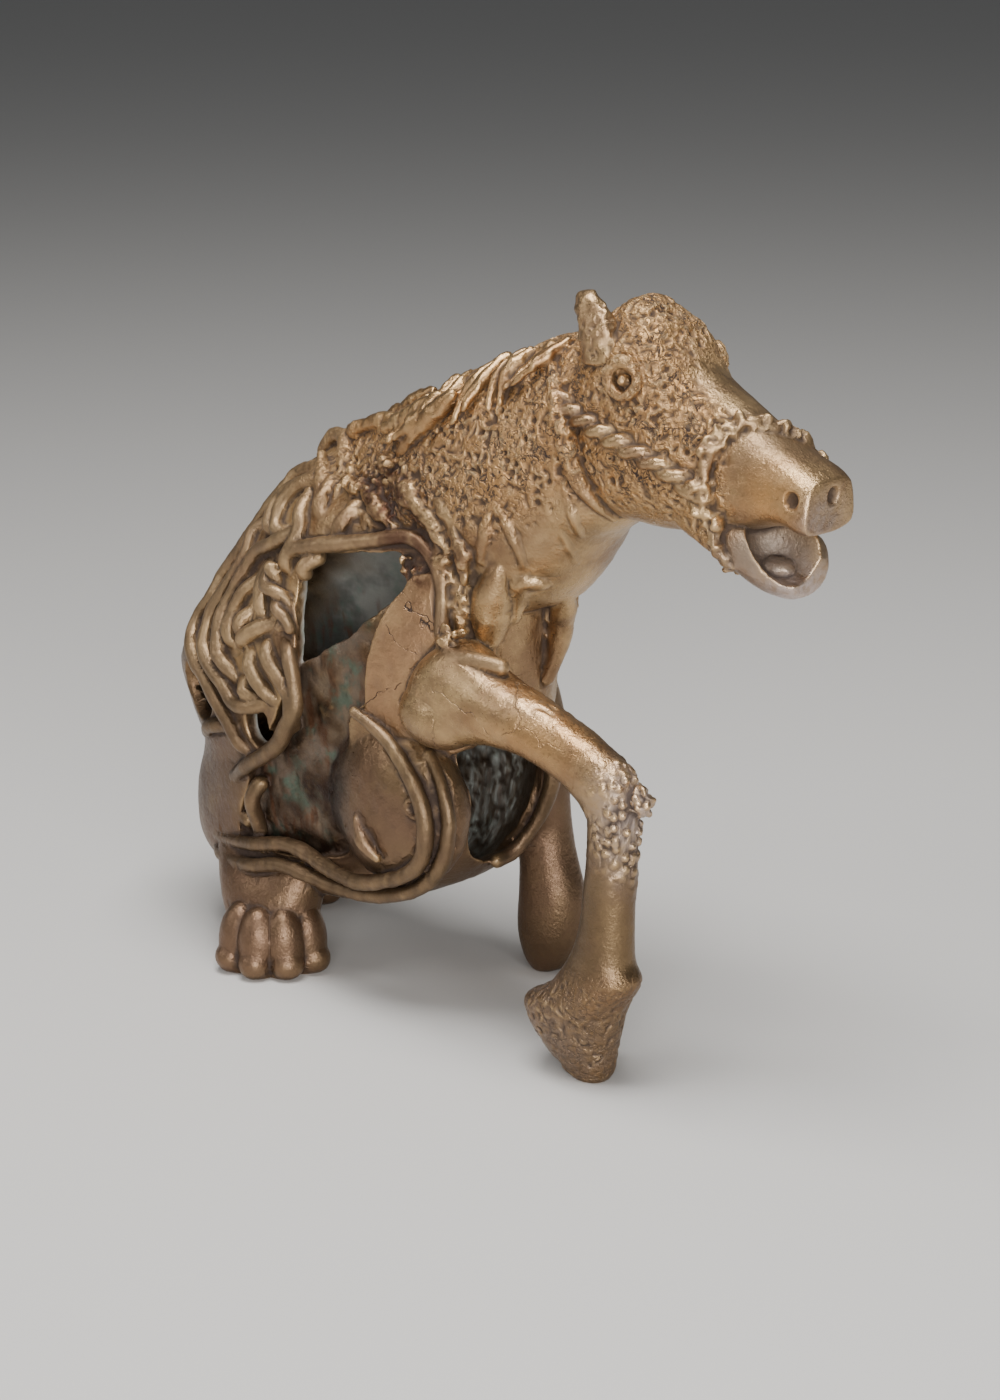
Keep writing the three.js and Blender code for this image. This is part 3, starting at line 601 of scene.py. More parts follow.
def neck_parts(hollow):
    """The neck, and the locks of the mane laid from its crest down the near side."""
    parts = [(carved(limb(NECK_ROWS, narrowing=0.12), [hollow]), "neck")]
    between = [(np.array(a) + np.array(b)) / 2 + [0, 0.6, 0] for a, b in zip(MANE_LOCKS, MANE_LOCKS[1:])]
    rng = np.random.default_rng(SEED)
    near = MANE_LOCKS + between
    for locks, widest, seed in ((near, 4.6, 0), ([mirrored(lock) for lock in near], 4.4, 40)):
        for i, lock in enumerate(locks):
            lock = np.array(lock) + rng.uniform(-1, 1, (3, 3)) * MANE_STRAY
            widths = [1.8, rng.uniform(2.2, widest), 1.2]
            parts.append((tube(lock, widths, uneven=0.35, seed=seed + i), "mane"))
    for i, strand in enumerate(CREST_STRANDS):
        parts.append((tube(strand, [2, 4.4, 3.6, 2], uneven=0.25, seed=80 + i), "mane"))
    for i, (edge, widths) in enumerate(NECK_EDGES):
        parts.append((tube(edge, 1.35 * np.array(widths), uneven=0.2, seed=90 + i), "neck"))
    for i, (fold, widths) in enumerate(HANGING_FOLDS):
        parts.append((tube(fold, widths, uneven=0.15, seed=96 + i), "neck"))
    for i, (fold, widths) in enumerate(FLANK_FOLDS):
        parts.append((tube(fold, widths, uneven=0.35, seed=100 + i), "lump"))
    return parts


def ring(centre, radius, width, tilt=(0, 0, 0), seed=0):
    """A wire bent round a little more than a full circle about the y axis, so that its ends overlap."""
    angle = np.linspace(0, 2.08 * math.pi, 16)
    circle = np.stack([np.cos(angle) * radius, 0 * angle, np.sin(angle) * radius], 1)
    turn = np.array(Matrix.Rotation(tilt[2], 3, "Z") @ Matrix.Rotation(tilt[0], 3, "X"))
    return tube(np.asarray(centre) + circle @ turn.T, width, seed=seed)


def head_parts():
    """The skull with its nostrils, the scooped jaw and tongue, ears, eyes, the twisted rope and the
    noseband."""
    bores = [ball(spot, [1.7, 1.7, 1.8]) for spot in NOSTRILS]
    skull = carved(limb(HEAD_ROWS, fullness=(2.2, 2.2, 2.3, 2.7, 3.6), narrowing=0.1), bores)
    jaw = carved(limb(JAW_ROWS), [ball([82, -3.2, 112.5], [10.2, 6.3, 9.3])])
    parts = [(skull, "head"), (jaw, "head"), (ball([75, 0, 105], [4.6, 3.4, 2.2]), "head"),
             (limb(NEAR_EAR_ROWS, around=30, along=30), "lump"),
             (limb(FAR_EAR_ROWS, around=30, along=20), "lump"),
             (tube(NOSEBAND, 3.4, sides=16, uneven=0.3), "lump")]
    parts += [(grain, "lump") for grain in strewn(NOSEBAND, 1.7, 3.0, 0.55, 5)]
    parts += [(strand, "rope") for strand in twisted(ROPE, 4.6, 9.0)]
    parts += [(strand, "rope") for strand in twisted(mirrored(ROPE), 4.6, 9.0)]
    for side in (1, -1):
        centre = np.array(EYE) * [1, side, 1]
        parts.append((ring(centre, 3.2, 2.0, tilt=(0, 0, side * 0.1)), "head"))
        parts.append((ball(centre + [0.3, 0, -0.3], [1.0, 1.3, 1.1]), "head"))
    return parts


def foreleg_parts(hollow):
    """The raised near foreleg with its elbow and knee spur, and the straight far foreleg."""
    return [(carved(limb(NEAR_FORE_ROWS, along=160), [hollow]), "leg"),
            (carved(limb(FAR_FORE_ROWS, along=120), [hollow]), "leg"),
            (ball([8, -20.5, 66.5], [10, 6.5, 7]), "leg"),
            (ball([59.5, -19, 60], [2.4, 2, 3]), "lump"),
            (ball([48, -18.6, 36.5], [2.6, 2.6, 3.4]), "leg")]


def paw(x, y, facing):
    """A low ball with four toes spread about the way it faces, in degrees from +X towards +Y."""
    parts = [(ball([x, y, 8], [10.5, 9.5, 10.5]), "leg")]
    for share in (-1.5, -0.5, 0.5, 1.5):
        angle = math.radians(facing + share * 38)
        centre = [x + 8 * math.cos(angle), y + 8 * math.sin(angle), 6.5]
        parts.append((ball(centre, [4.8, 4.8, 8.6]), "leg"))
        tip = [x + 10.4 * math.cos(angle), y + 10.4 * math.sin(angle), 3.2]
        parts.append((ball(tip, [3.6, 3.6, 3.4]), "leg"))
    return parts


def hind_parts(hollow):
    """Haunches, hocks and paws, with the ridge and the ring on the near haunch."""
    parts = [(carved(ball([-7, -17.5, 44], [18, 9, 17.5], 72, 50), [hollow]), "haunch"),
             (carved(ball([-13, 14.5, 41], [18, 11, 17], 72, 50), [hollow]), "haunch"),
             (limb(NEAR_HOCK_ROWS), "leg"), (limb(FAR_HOCK_ROWS), "leg"),
             (ball([-69, 9, 31], [11, 7.5, 9]), "leg"),
             (tube(HAUNCH_RIDGE, [1.5, 3.4, 1.5]), "haunch"), (ring(CRATER, 1.8, 1.3), "haunch")]
    return parts + paw(-43.5, -19.5, -48) + paw(-72, 14, 10)


def wire_parts():
    """The wires over the rump, flank and shoulder, the two bands and the folds of the chest."""
    parts = [(tube(laid_on_trunk(r), WIRE, uneven=0.1, seed=i), "wire") for i, r in enumerate(RUMP_WIRES)]
    parts += [(tube(laid_on_trunk(r), WIRE, seed=30 + i), "wire") for i, r in enumerate(FAR_WIRES)]
    parts += [(tube(r, BAND_WIDTHS, seed=50 + i), "wire") for i, r in enumerate(BANDS)]
    parts += [(tube(on_trunk(r, 0), FOLD_WIDTHS, uneven=0.12, seed=60 + i), "lump")
              for i, r in enumerate(CHEST_FOLDS)]
    shoulder = np.vstack([on_trunk(SHOULDER_WIRE_ON_TRUNK, 1), SHOULDER_WIRE_END])
    parts.append((tube(shoulder, WIRE, seed=70), "wire"))
    parts.append((tube(on_trunk(CHEST_RIM, 0.8), 3.2, seed=71), "wire"))
    parts += [(strand, "wire") for strand in twisted(on_trunk(TWISTED_WIRE, 1.4), 5.4, 11.0)]
    parts.append((tube(WITHERS_KNOT, WIRE, uneven=0.15, seed=72), "wire"))
    parts.append((tube(WITHERS_END, [2, 4, 3], uneven=0.15, seed=73), "wire"))
    for i, (centre, spread, count, width) in enumerate(LUMPS):
        parts += [(shape, "lump") for shape in lumps(centre, spread, count, width, i)]
    return parts


# One casting

def joined(parts):
    """All parts as one mesh in millimetres, with a number from 0 to 1 at each point for each kind
    of part."""
    points = np.vstack([shape[0] for shape, _ in parts])
    start = np.cumsum([0] + [len(shape[0]) for shape, _ in parts])
    tris = np.vstack([shape[1] + start[i] for i, (shape, _) in enumerate(parts)])
    obj = put_mesh("horse_casting", points, tris)
    for kind in PARTS:
        mask = np.concatenate([np.full(len(shape[0]), kind == name, np.float32) for shape, name in parts])
        obj.data.attributes.new(kind, "FLOAT", "POINT").data.foreach_set("value", mask)
    return obj


def fused(obj, voxel):
    """The parts grown together into one skin by a voxel remesh, which keeps the parts' numbers."""
    bpy.ops.object.select_all(action="DESELECT")
    obj.select_set(True)
    bpy.context.view_layer.objects.active = obj
    obj.data.remesh_voxel_size = voxel
    obj.data.remesh_voxel_adaptivity = 0
    obj.data.use_remesh_preserve_attributes = True
    bpy.ops.object.voxel_remesh()


class Skin:
    """The mesh as whole arrays: points in drawn millimetres, normals, edges and the parts' numbers."""

    def __init__(self, mesh):
        count = len(mesh.vertices)
        self.mesh = mesh
        self.points = np.empty(count * 3)
        mesh.vertices.foreach_get("co", self.points)
        self.points = self.points.reshape(-1, 3)
        edges = np.empty(len(mesh.edges) * 2, int)
        mesh.edges.foreach_get("vertices", edges)
        self.a, self.b = edges.reshape(-1, 2).T
        self.degree = np.bincount(self.a, minlength=count) + np.bincount(self.b, minlength=count)
        self.parts = {}
        for kind in PARTS:
            values = np.empty(count, np.float32)
            mesh.attributes[kind].data.foreach_get("value", values)
            self.parts[kind] = values.astype(float)
        self.find_normals()

    def find_normals(self):
        """Each point's normal, as Blender weighs its faces."""
        normals = np.empty(len(self.points) * 3)
        self.mesh.vertices.foreach_set("co", self.points.ravel())
        self.mesh.update()
        self.mesh.vertices.foreach_get("normal", normals)
        self.normals = normals.reshape(-1, 3)

    def neighbours_mean(self, values):
        """The mean of the values at the points that share an edge with each point."""
        if values.ndim > 1:
            return np.stack([self.neighbours_mean(column) for column in values.T], axis=1)
        count = len(values)
        total = np.bincount(self.a, values[self.b], count) + np.bincount(self.b, values[self.a], count)
        return total / np.maximum(self.degree, 1)

    def softened(self, values, times, share=0.5):
        """The values moved a share of the way to their neighbours' mean, some times over."""
        for _ in range(times):
            values = values + share * (self.neighbours_mean(values) - values)
        return values


def relief(horse):
    """How far the cast surface stands proud of the modelled form, in millimetres along the normal:
    slow waves of hand-worked wax, squiggled crust on head, neck and lumps, bubbled knee and hoof,
    drawn lines on mane and wires, and rough torn metal in the window."""
    p, part = horse.points, horse.parts
    inside = smooth_step(depth_in_trunk(p), 1.2, 2.2)
    crust = crusted(p, part)
    height = 0.28 * noise(p, 9.0, 1) + 0.1 * noise(p, 3.2, 2)
    squiggle = 1 - 2.2 * np.abs(layered(p + 0.8 * noise(p, 1.6, 6)[:, None], 2.2, 5, 2))
    pits = smooth_step(nearest_seed(p, 3.0, 9), 0.36, 0.14) * smooth_step(noise(p, 5.0, 12), -0.2, 0.2)
    height = height + crust * (0.55 * np.clip(squiggle, -0.4, 0.7) - 0.7 * pits)
    brow = part["head"] * blob(p, [50, 0, 150], [13, 14, 10])
    height = height + 0.9 * brow * noise(p, 5.0, 41)
    bubbles = smooth_step(nearest_seed(p, 2.0, 15), 0.6, 0.25) - 0.5
    height = height + 1.15 * bubbled(p) * bubbles
    height = height + 0.65 * part["lump"] * layered(p, 1.8, 17, 2)
    height = height + 0.3 * part["neck"] * (1 - crust) * layered(p, 4.5, 71, 3)
    drawn = noise(p * [1, 1, 0.35] + p[:, :1] * 0.3, 1.5, 19)
    height = height + 0.16 * (part["rope"] + 2 * part["mane"] + 0.6 * part["wire"]) * drawn
    seen = part["sheet"] + 0.35 * inside + 0.8 * torn_haunch(p, part)
    height = height + np.clip(seen, 0, 1) * (0.7 * layered(p, 6.0, 21, 2) + 0.3 * layered(p, 2.0, 25, 2))
    height = height + 0.25 * part["haunch"] * layered(p, 2.6, 73, 2)
    worked = part["trunk"] * (1 - inside) * smooth_step(p[:, 1], -4, 4)
    height = height + worked * (0.5 * layered(p, 9.0, 61, 2) + 0.14 * drawn)
    return height * smooth_step(p[:, 2], 0.1, 1.6)


def melted(p, part):
    """Where the wax parts run into one another with no edge: the far haunch, the seat and the tops
    of the hocks, but not the wires and the torn sheet."""
    places = (blob(p, [-13, 22, 41], [26, 14, 24]) + blob(p, [-62, 8, 29], [24, 22, 13])
              + blob(p, [6, 20, 62], [12, 12, 12]) + 0.8 * blob(p, [-20, -22, 44], [8, 7, 17]))
    return np.clip(1.4 * places, 0, 1) * (1 - np.clip(part["wire"] + 0.5 * part["sheet"], 0, 1))


def crusted(p, part):
    """Where the granular crust lies: full on cheek and brow, none on the smooth bridge of the nose,
    the muzzle and the jaw; thinning out down the neck; some on withers, hoof and fetlock."""
    bridge = smooth_step(p[:, 0], 52, 60) * smooth_step(p[:, 1], -7, -3) * smooth_step(p[:, 2], 125, 131)
    muzzle = smooth_step(p[:, 0], 68, 72)
    head = part["head"] * (1 - bridge) * (1 - 0.92 * muzzle)
    throat = smooth_step(p[:, 0], 26, 34) * smooth_step(p[:, 2], 118, 110) * smooth_step(p[:, 0], 66, 60)
    neck = part["neck"] * smooth_step(p[:, 2] - 0.55 * p[:, 0], 88, 104)
    neck = neck * (1 - smooth_step(p[:, 1], -2, 5) * smooth_step(p[:, 2] + 0.3 * p[:, 0], 122, 106))
    hoof = part["leg"] * smooth_step(p[:, 2], 27, 19) * smooth_step(p[:, 0], 28, 34)
    withers = blob(p, [-24, -10, 110], [20, 14, 8])
    eye = blob(p, EYE, [3.6, 6, 3.6])
    return np.clip(head * (1 - 0.8 * throat) * (1 - 0.8 * eye) + neck + 0.5 * hoof + 0.6 * withers, 0, 1)


def torn_haunch(p, part):
    """The rear of the near haunch, where its smooth wax runs out into the rough sheet."""
    return part["haunch"] * smooth_step(p[:, 0], -11, -21) * smooth_step(p[:, 1], -5, -12)


def bubbled(p):
    """The silvery bubbled crust on the knee and along the forearm's upper edge."""
    knee = blob(p, [59, -19, 57], [8, 9, 11])
    edge = blob(p, [40, -19, 74.5], [17, 9, 3.5])
    return np.clip(knee + 0.2 * edge, 0, 1)


def surface_cavity(horse, times):
    """How hollow the surface is at each point: the height of its softened self above it. More
    softening finds wider hollows."""
    smooth = horse.softened(horse.points, times)
    return ((smooth - horse.points) * horse.normals).sum(1)


def keep_number(mesh, name, values):
    """A number at each point, for the material."""
    mesh.attributes.new(name, "FLOAT", "POINT").data.foreach_set("value", values.astype(np.float32))


# The finish

def add(tree, kind, inputs=None, **settings):
    """A node with its settings; each input is a value, or a socket to link from."""
    made = tree.nodes.new(kind)
    for name, value in settings.items():
        setattr(made, name, value)
    for name, value in (inputs or {}).items():
        if isinstance(value, bpy.types.NodeSocket):
            tree.links.new(value, made.inputs[name])
        else:
            made.inputs[name].default_value = value
    return made


# Noises of the finish: how many millimetres each repeats in, and its detail
NOISES = {"broad": (16, 4), "middle": (5, 4), "small": (1.8, 4), "fine": (0.7, 4), "sand": (0.55, 5)}

# The finish, laid coat on coat over the tan brass: the colour, the number at each point that says
# where it lies, the noise that breaks it up and the range of that noise over which it comes in, and
# the least and most of it inside its place
COATS = (
    ("light_tan", None, "broad", (0.35, 0.65), (0.0, 1.0)),
    ("olive", None, "small", (0.52, 0.75), (0.0, 0.3)),
    ("pink_brown", "pink", "middle", (0.2, 0.6), (0.45, 1.0)),
    ("olive", "olive", "middle", (0.3, 0.65), (0.3, 1.0)),
    ("gold", "gold", "middle", (0.25, 0.6), (0.5, 1.0)),
    ("silver", "silver", "small", (0.3, 0.6), (0.35, 1.0)),
    # Red-brown oxide stains, and painted shade over the rear of the trunk
    ("stain_and_shade", "stain_and_shade", "middle", (0.3, 0.6), (0.3, 1.0)),
    ("scale", "inside", "middle", (0.0, 0.1), (1.0, 1.0)),
    ("scale_dark", "inside", "broad", (0.4, 0.62), (0.0, 0.9)),
    ("lime", "lining", "streaks", (0.38, 0.5), (0.0, 1.0)),
    ("rust", "rust", "streaks", (0.5, 0.66), (0.0, 0.9)),
    ("verdigris", "verdigris", "middle", (0.5, 0.66), (0.0, 0.7)),
    # Painted shade: the crevice brown laid over the lower body, the sunken sheet, the torn haunch and the
    # inside of the mouth
    ("crevice_and_shade", "shade", "broad", (0.3, 0.65), (0.7, 1.0)),
)


def cast_brass_material(colours):
    """Lost-wax cast brass, left as it came from the mould and worn bright where hands reach, with painted
    highlights on its ridges, muzzle and forearm and painted shade in its wide hollows and low down.
    """
    # Satin gold tan on high places with painted highlights, brown oxide in narrow hollows and cracks, painted
    # shade in wide hollows and low down, a pink flush where zinc burned off, and verdigris, rust and blue-grey
    # scale inside, all dull beside the bare metal
    material = bpy.data.materials.new("lost_wax_cast_brass")
    material.use_nodes = True
    tree = material.node_tree
    shader = tree.nodes["Principled BSDF"]
    where = add(tree, "ShaderNodeTexCoord").outputs["Object"]
    masks = {name: add(tree, "ShaderNodeAttribute", attribute_name=name).outputs["Fac"] for name in FINISHES}
    masks[None] = 1.0
    noises = {name: add(tree, "ShaderNodeTexNoise", {"Vector": where, "Scale": 1 / (mm * MM), "Detail": detail,
                                                     "Roughness": 0.6}).outputs["Fac"]
              for name, (mm, detail) in NOISES.items()}
    # Stains that run down: noise drawn out over four and a half times its width
    upright = add(tree, "ShaderNodeMapping", {"Vector": where, "Scale": (1, 1, 0.22)}).outputs["Vector"]
    noises["streaks"] = add(tree, "ShaderNodeTexNoise", {"Vector": upright, "Scale": 1 / (3 * MM),
                                                         "Detail": 4.0}).outputs["Fac"]

    # Crevices that squiggle through the crust where a noise of 2.4 mm crosses its middle value
    wander = add(tree, "ShaderNodeTexNoise", {"Vector": where, "Scale": 1 / (2.4 * MM), "Detail": 3.0,
                                              "Roughness": 0.55, "Distortion": 0.9}).outputs["Fac"]
    centred = add(tree, "ShaderNodeMath", {0: wander, 1: 0.5}, operation="SUBTRACT").outputs[0]
    from_line = add(tree, "ShaderNodeMath", {0: centred}, operation="ABSOLUTE").outputs[0]
    # Pits 0.7 mm wide in cells of 1.5 mm, and grains of 0.95 mm with dark between them
    pits, grains = (add(tree, "ShaderNodeTexVoronoi",
                        {"Vector": where, "Scale": 1 / (mm * MM)}).outputs["Distance"] for mm in (1.5, 0.95))
    # Cracks a hair wide: the edges of 17 mm cells, bent by up to 9 mm
    bend = add(tree, "ShaderNodeTexNoise", {"Vector": where, "Scale": 1 / (6 * MM),
                                            "Detail": 4.0}).outputs["Color"]
    bend = add(tree, "ShaderNodeVectorMath", {0: bend, 1: (9 * MM,) * 3}, operation="MULTIPLY").outputs[0]
    bent = add(tree, "ShaderNodeVectorMath", {0: where, 1: bend}, operation="ADD").outputs[0]
    from_crack = add(tree, "ShaderNodeTexVoronoi", {"Vector": bent, "Scale": 1 / (17 * MM)},
                     feature="DISTANCE_TO_EDGE").outputs["Distance"]
    # Each dark mark: its value and the range over which it fades in, its place, and the noise and
    # range that thin it out
    marks = (
        (from_line, 0.058, 0.008, "crust", "middle", 0.38, 0.55),
        (pits, 0.34, 0.16, "crust", "middle", 0.45, 0.6),
        (grains, 0.5, 1.0, "crust", "broad", 0.3, 0.5),
        (from_crack, 0.013, 0.002, "cracks", "middle", 0.4, 0.54),
    )
    # Dark marks in the crevice brown: oxide in narrow crevices, in the crust and in cracks, and painted shade
    # in wide hollows
    dark = masks["hollows"]
    for value, none, full, place, breaker, low, high in marks:
        mark = add(tree, "ShaderNodeMapRange", {"Value": value, "From Min": none, "From Max": full},
                   interpolation_type="SMOOTHSTEP").outputs["Result"]
        thinned = add(tree, "ShaderNodeMapRange", {"Value": noises[breaker], "From Min": low, "From Max": high},
                      interpolation_type="SMOOTHSTEP").outputs["Result"]
        mark = add(tree, "ShaderNodeMath", {0: mark, 1: thinned}, operation="MULTIPLY").outputs[0]
        mark = add(tree, "ShaderNodeMath", {0: mark, 1: masks[place]}, operation="MULTIPLY").outputs[0]
        dark = add(tree, "ShaderNodeMath", {0: dark, 1: mark}, operation="MAXIMUM").outputs[0]

    base = linear(colours.tan)
    for colour, place, breaker, (low, high), (least, most) in COATS:
        share = add(tree, "ShaderNodeMapRange", {"Value": noises[breaker], "From Min": low, "From Max": high,
                                                 "To Min": least, "To Max": most},
                    interpolation_type="SMOOTHSTEP").outputs["Result"]
        share = add(tree, "ShaderNodeMath", {0: share, 1: masks[place]}, operation="MULTIPLY").outputs[0]
        base = add(tree, "ShaderNodeMix", {"Factor": share, 6: base, 7: linear(getattr(colours, colour))},
                   data_type="RGBA").outputs[2]
    # Light tan on raised ridges: rubbed wear, and a painted highlight
    rubbed_and_highlit = add(tree, "ShaderNodeMath", {0: masks["ridges"], 1: 0.6}, operation="MULTIPLY").outputs[0]
    for share, colour in ((dark, colours.crevice_and_shade), (rubbed_and_highlit, colours.light_tan)):
        base = add(tree, "ShaderNodeMix", {"Factor": share, 6: base, 7: linear(colour)},
                   data_type="RGBA").outputs[2]
    tree.links.new(base, shader.inputs["Base Color"])

    # Bare metal is glossy and metallic, and oxide, the painted shade of wide hollows, and scale are neither
    dull = add(tree, "ShaderNodeMath", {0: masks["pink"], 1: 0.2}, operation="MULTIPLY").outputs[0]
    satin = add(tree, "ShaderNodeMath", {0: masks["olive"], 1: 0.22}, operation="MULTIPLY").outputs[0]
    for other in (satin, dark, masks["inside"]):
        dull = add(tree, "ShaderNodeMath", {0: dull, 1: other}, operation="MAXIMUM").outputs[0]
    polish = add(tree, "ShaderNodeMapRange", {"Value": dull, "To Min": 0.29, "To Max": 0.85}).outputs["Result"]
    uneven = add(tree, "ShaderNodeMapRange", {"Value": noises["fine"], "From Min": 0.25, "From Max": 0.75,
                                              "To Min": -0.08, "To Max": 0.14}).outputs["Result"]
    rough = add(tree, "ShaderNodeMath", {0: polish, 1: uneven}, operation="ADD", use_clamp=True).outputs[0]
    tree.links.new(rough, shader.inputs["Roughness"])
    metal = add(tree, "ShaderNodeMapRange", {"Value": dull, "To Min": 0.92, "To Max": 0.0}).outputs["Result"]
    tree.links.new(metal, shader.inputs["Metallic"])

    coarse = add(tree, "ShaderNodeMapRange", {"Value": masks["crust"], "To Min": 0.28,
                                              "To Max": 0.6}).outputs["Result"]
    sand = add(tree, "ShaderNodeMath", {0: noises["sand"], 1: coarse}, operation="MULTIPLY").outputs[0]
    height = add(tree, "ShaderNodeMath", {0: noises["small"], 1: 0.5, 2: sand},
                 operation="MULTIPLY_ADD").outputs[0]
    height = add(tree, "ShaderNodeMath", {0: height, 1: dark}, operation="SUBTRACT").outputs[0]
    bump = add(tree, "ShaderNodeBump", {"Height": height, "Strength": 0.95, "Distance": 0.4 * MM})
    tree.links.new(bump.outputs["Normal"], shader.inputs["Normal"])
    return material


FINISHES = ("crust", "hollows", "ridges", "inside", "lining", "pink", "olive", "gold", "silver", "stain_and_shade",
            "rust", "verdigris", "shade", "cracks")


def finish_numbers(horse):
    """Where each finish lies, from 0 to 1 at each point, by part, place and hollowness."""
    p, part = horse.points, horse.parts
    narrow, wide = surface_cavity(horse, 5), surface_cavity(horse, 60)
    trunk = np.clip(part["trunk"] + part["sheet"] + 0.3 * part["plate"], 0, 1)
    inside = smooth_step(depth_in_trunk(p), 1.9, 2.6) * trunk
    crust, knee = crusted(p, part), bubbled(p)
    low = smooth_step(p[:, 2], 66, 42) * smooth_step(p[:, 0], 38, 14)
    metal = 1 - inside
    torn = torn_haunch(p, part)
    throat = blob(p, [76, -3, 109], [8, 7, 4.5])
    spots = sum(blob(p, [x, -25, z], [1, 6, 1]) for x, z in PLATE_SPOTS)
    # Brown oxide in the narrow crevices, painted shade in the wide hollows between parts, and dark specks on
    # the plate
    hollows = np.clip(smooth_step(narrow * (1 + 0.7 * crust), 0.01, 0.1) + smooth_step(wide, 0.2, 1.1)
                      + 0.8 * spots, 0, 1)
    mouth = blob(p, [78, -2, 109], [9, 7, 4.5])
    # A painted reflection: a gold patch on the flat side of the muzzle
    muzzle_reflection = blob(p, [80, -7, 120], [6, 4, 5])
    return {
        "crust": crust,
        "hollows": 0.92 * hollows * (1 - 0.5 * part["sheet"]) * (1 - 0.9 * inside * (1 - part["sheet"])),
        # Raised ridges: rubbed wear and a painted highlight, in light tan
        "ridges": smooth_step(narrow, -0.02, -0.16) * metal,
        "inside": np.clip(inside * (1 - 0.75 * part["sheet"]) + 0.25 * torn + 0.5 * throat, 0, 1),
        "lining": inside * smooth_step(p[:, 2], 66, 58) * smooth_step(p[:, 0], -45, -25) * (1 - part["sheet"]),
        "pink": np.clip((0.55 * low * (1 - 0.6 * part["wire"]) + 0.45 * part["plate"] + 0.8 * mouth
                         + 0.2 * part["wire"]) * metal, 0, 1),
        "olive": np.clip(0.8 * part["wire"] + blob(p, [47, -19, 34], [9, 9, 20])
                         + blob(p, [72, 0, 128], [14, 9, 7]) + 0.5 * blob(p, [28, -8, 106], [14, 14, 9]), 0, 1),
        "gold": np.clip(0.75 * crust + 0.25 * part["plate"] + muzzle_reflection + 0.4 * part["mane"]
                        # Polished gold on the near forearm, and a painted highlight on its top
                        + 0.8 * blob(p, [36, -19, 68], [16, 10, 9]), 0, 1) * metal,
        "silver": np.clip(blob(p, [84, -3, 101], [7, 8, 5]) + 0.9 * knee + blob(p, [91, -3, 117], [4, 6, 4])
                          + 0.7 * blob(p, [42, -18, 10], [11, 10, 12])
                          + 0.5 * blob(p, [78, 0, 102], [9, 9, 6]), 0, 1),
        "stain_and_shade": np.clip(blob(p, [-12, -14, 109], [12, 6, 7]) + blob(p, [-2, -19, 94], [6, 4, 5])
                         + 0.6 * blob(p, [17, -14, 97], [12, 8, 6]) + 0.6 * part["sheet"] + 0.7 * torn
                         + 0.6 * blob(p, [11, -20, 83], [6, 4, 5]) + 0.7 * blob(p, [-8, -18, 102], [18, 6, 10])
                         # Painted shade: darker towards the rear of the trunk and hind legs, above the hocks
                         + 0.6 * (part["trunk"] + part["leg"]) * smooth_step(p[:, 0], -48, -62)
                         * smooth_step(p[:, 2], 18, 30) * metal, 0, 1),
        "rust": np.clip(inside + part["sheet"] + torn, 0, 1) * smooth_step(p[:, 2], 78, 60),
        "verdigris": np.clip(0.5 * part["sheet"] + 0.45 * inside + 0.4 * torn
                             + 0.5 * smooth_step(wide, 0.5, 1.6) * part["wire"], 0, 1),
        # Painted shade: darker towards the bottom of the bare metal but not on the knee, and over the sunken
        # sheet, the torn haunch and the inside of the mouth
        "shade": np.clip(0.66 * smooth_step(p[:, 2], 74, 48) * metal * (1 - knee) + 0.55 * part["sheet"]
                         + 0.35 * torn + 0.6 * throat, 0, 1),
        "cracks": np.clip(part["plate"] + blob(p, [22, -19, 70], [20, 10, 10]), 0, 1),
    }


# What a user can change

class HorseSizes(bpy.types.PropertyGroup):
    """How finely the casting is worked and how strong its relief is."""

    voxel: FloatProperty(
        name="Skin step", description="Size of the cells that the wax parts are grown together in, in mm",
        default=0.42, min=0.3, max=1.5)
    relief: FloatProperty(
        name="Relief", description="Strength of the cast surface's grains and pits", default=1.0,
        min=0.0, max=2.0, subtype="FACTOR")


class HorseColours(bpy.types.PropertyGroup):
    """The colours of the cast brass and of its patina, and of its painted shade and highlights, as hex codes.
    """

    tan: StringProperty(name="Tan", description="Brass of the mid tones", default="#8E7155")
    # Also painted as a highlight, with rubbed wear, on raised ridges
    light_tan: StringProperty(name="Light tan", description="Brass where it is rubbed", default="#C6A578")
    # Also painted as a reflection on the muzzle's side and, with polish, as a highlight on the forearm's top
    gold: StringProperty(name="Gold", description="Crust on head and neck", default="#C4945E")
    pink_brown: StringProperty(name="Pink brown", description="Flush on the belly", default="#9C7B65")
    olive: StringProperty(name="Olive", description="Bronze of the wires and shin", default="#78644A")
    silver: StringProperty(name="Silver", description="Knee, lips and hoof", default="#C8B6AE")
    # Brown oxide in narrow crevices and the crust, and the painted shade of wide hollows, the lower body, the
    # sunken sheet and the mouth
    crevice_and_shade: StringProperty(name="Crevice", description="Brown oxide in hollows", default="#2A1B13")
    # Red-brown oxide, and painted shade over the rear of the trunk
    stain_and_shade: StringProperty(name="Stain", description="Red-brown oxide at the withers", default="#55382A")
    scale: StringProperty(name="Scale", description="Blue-grey inside", default="#A9A8A0")
    scale_dark: StringProperty(name="Dark scale", description="Smudges inside", default="#5F605A")
    lime: StringProperty(name="Lime", description="White bloom on the lining", default="#D2D6CE")
    rust: StringProperty(name="Rust", description="Brown stain inside", default="#7C5236")
    verdigris: StringProperty(name="Verdigris", description="Green bloom", default="#5E8674")


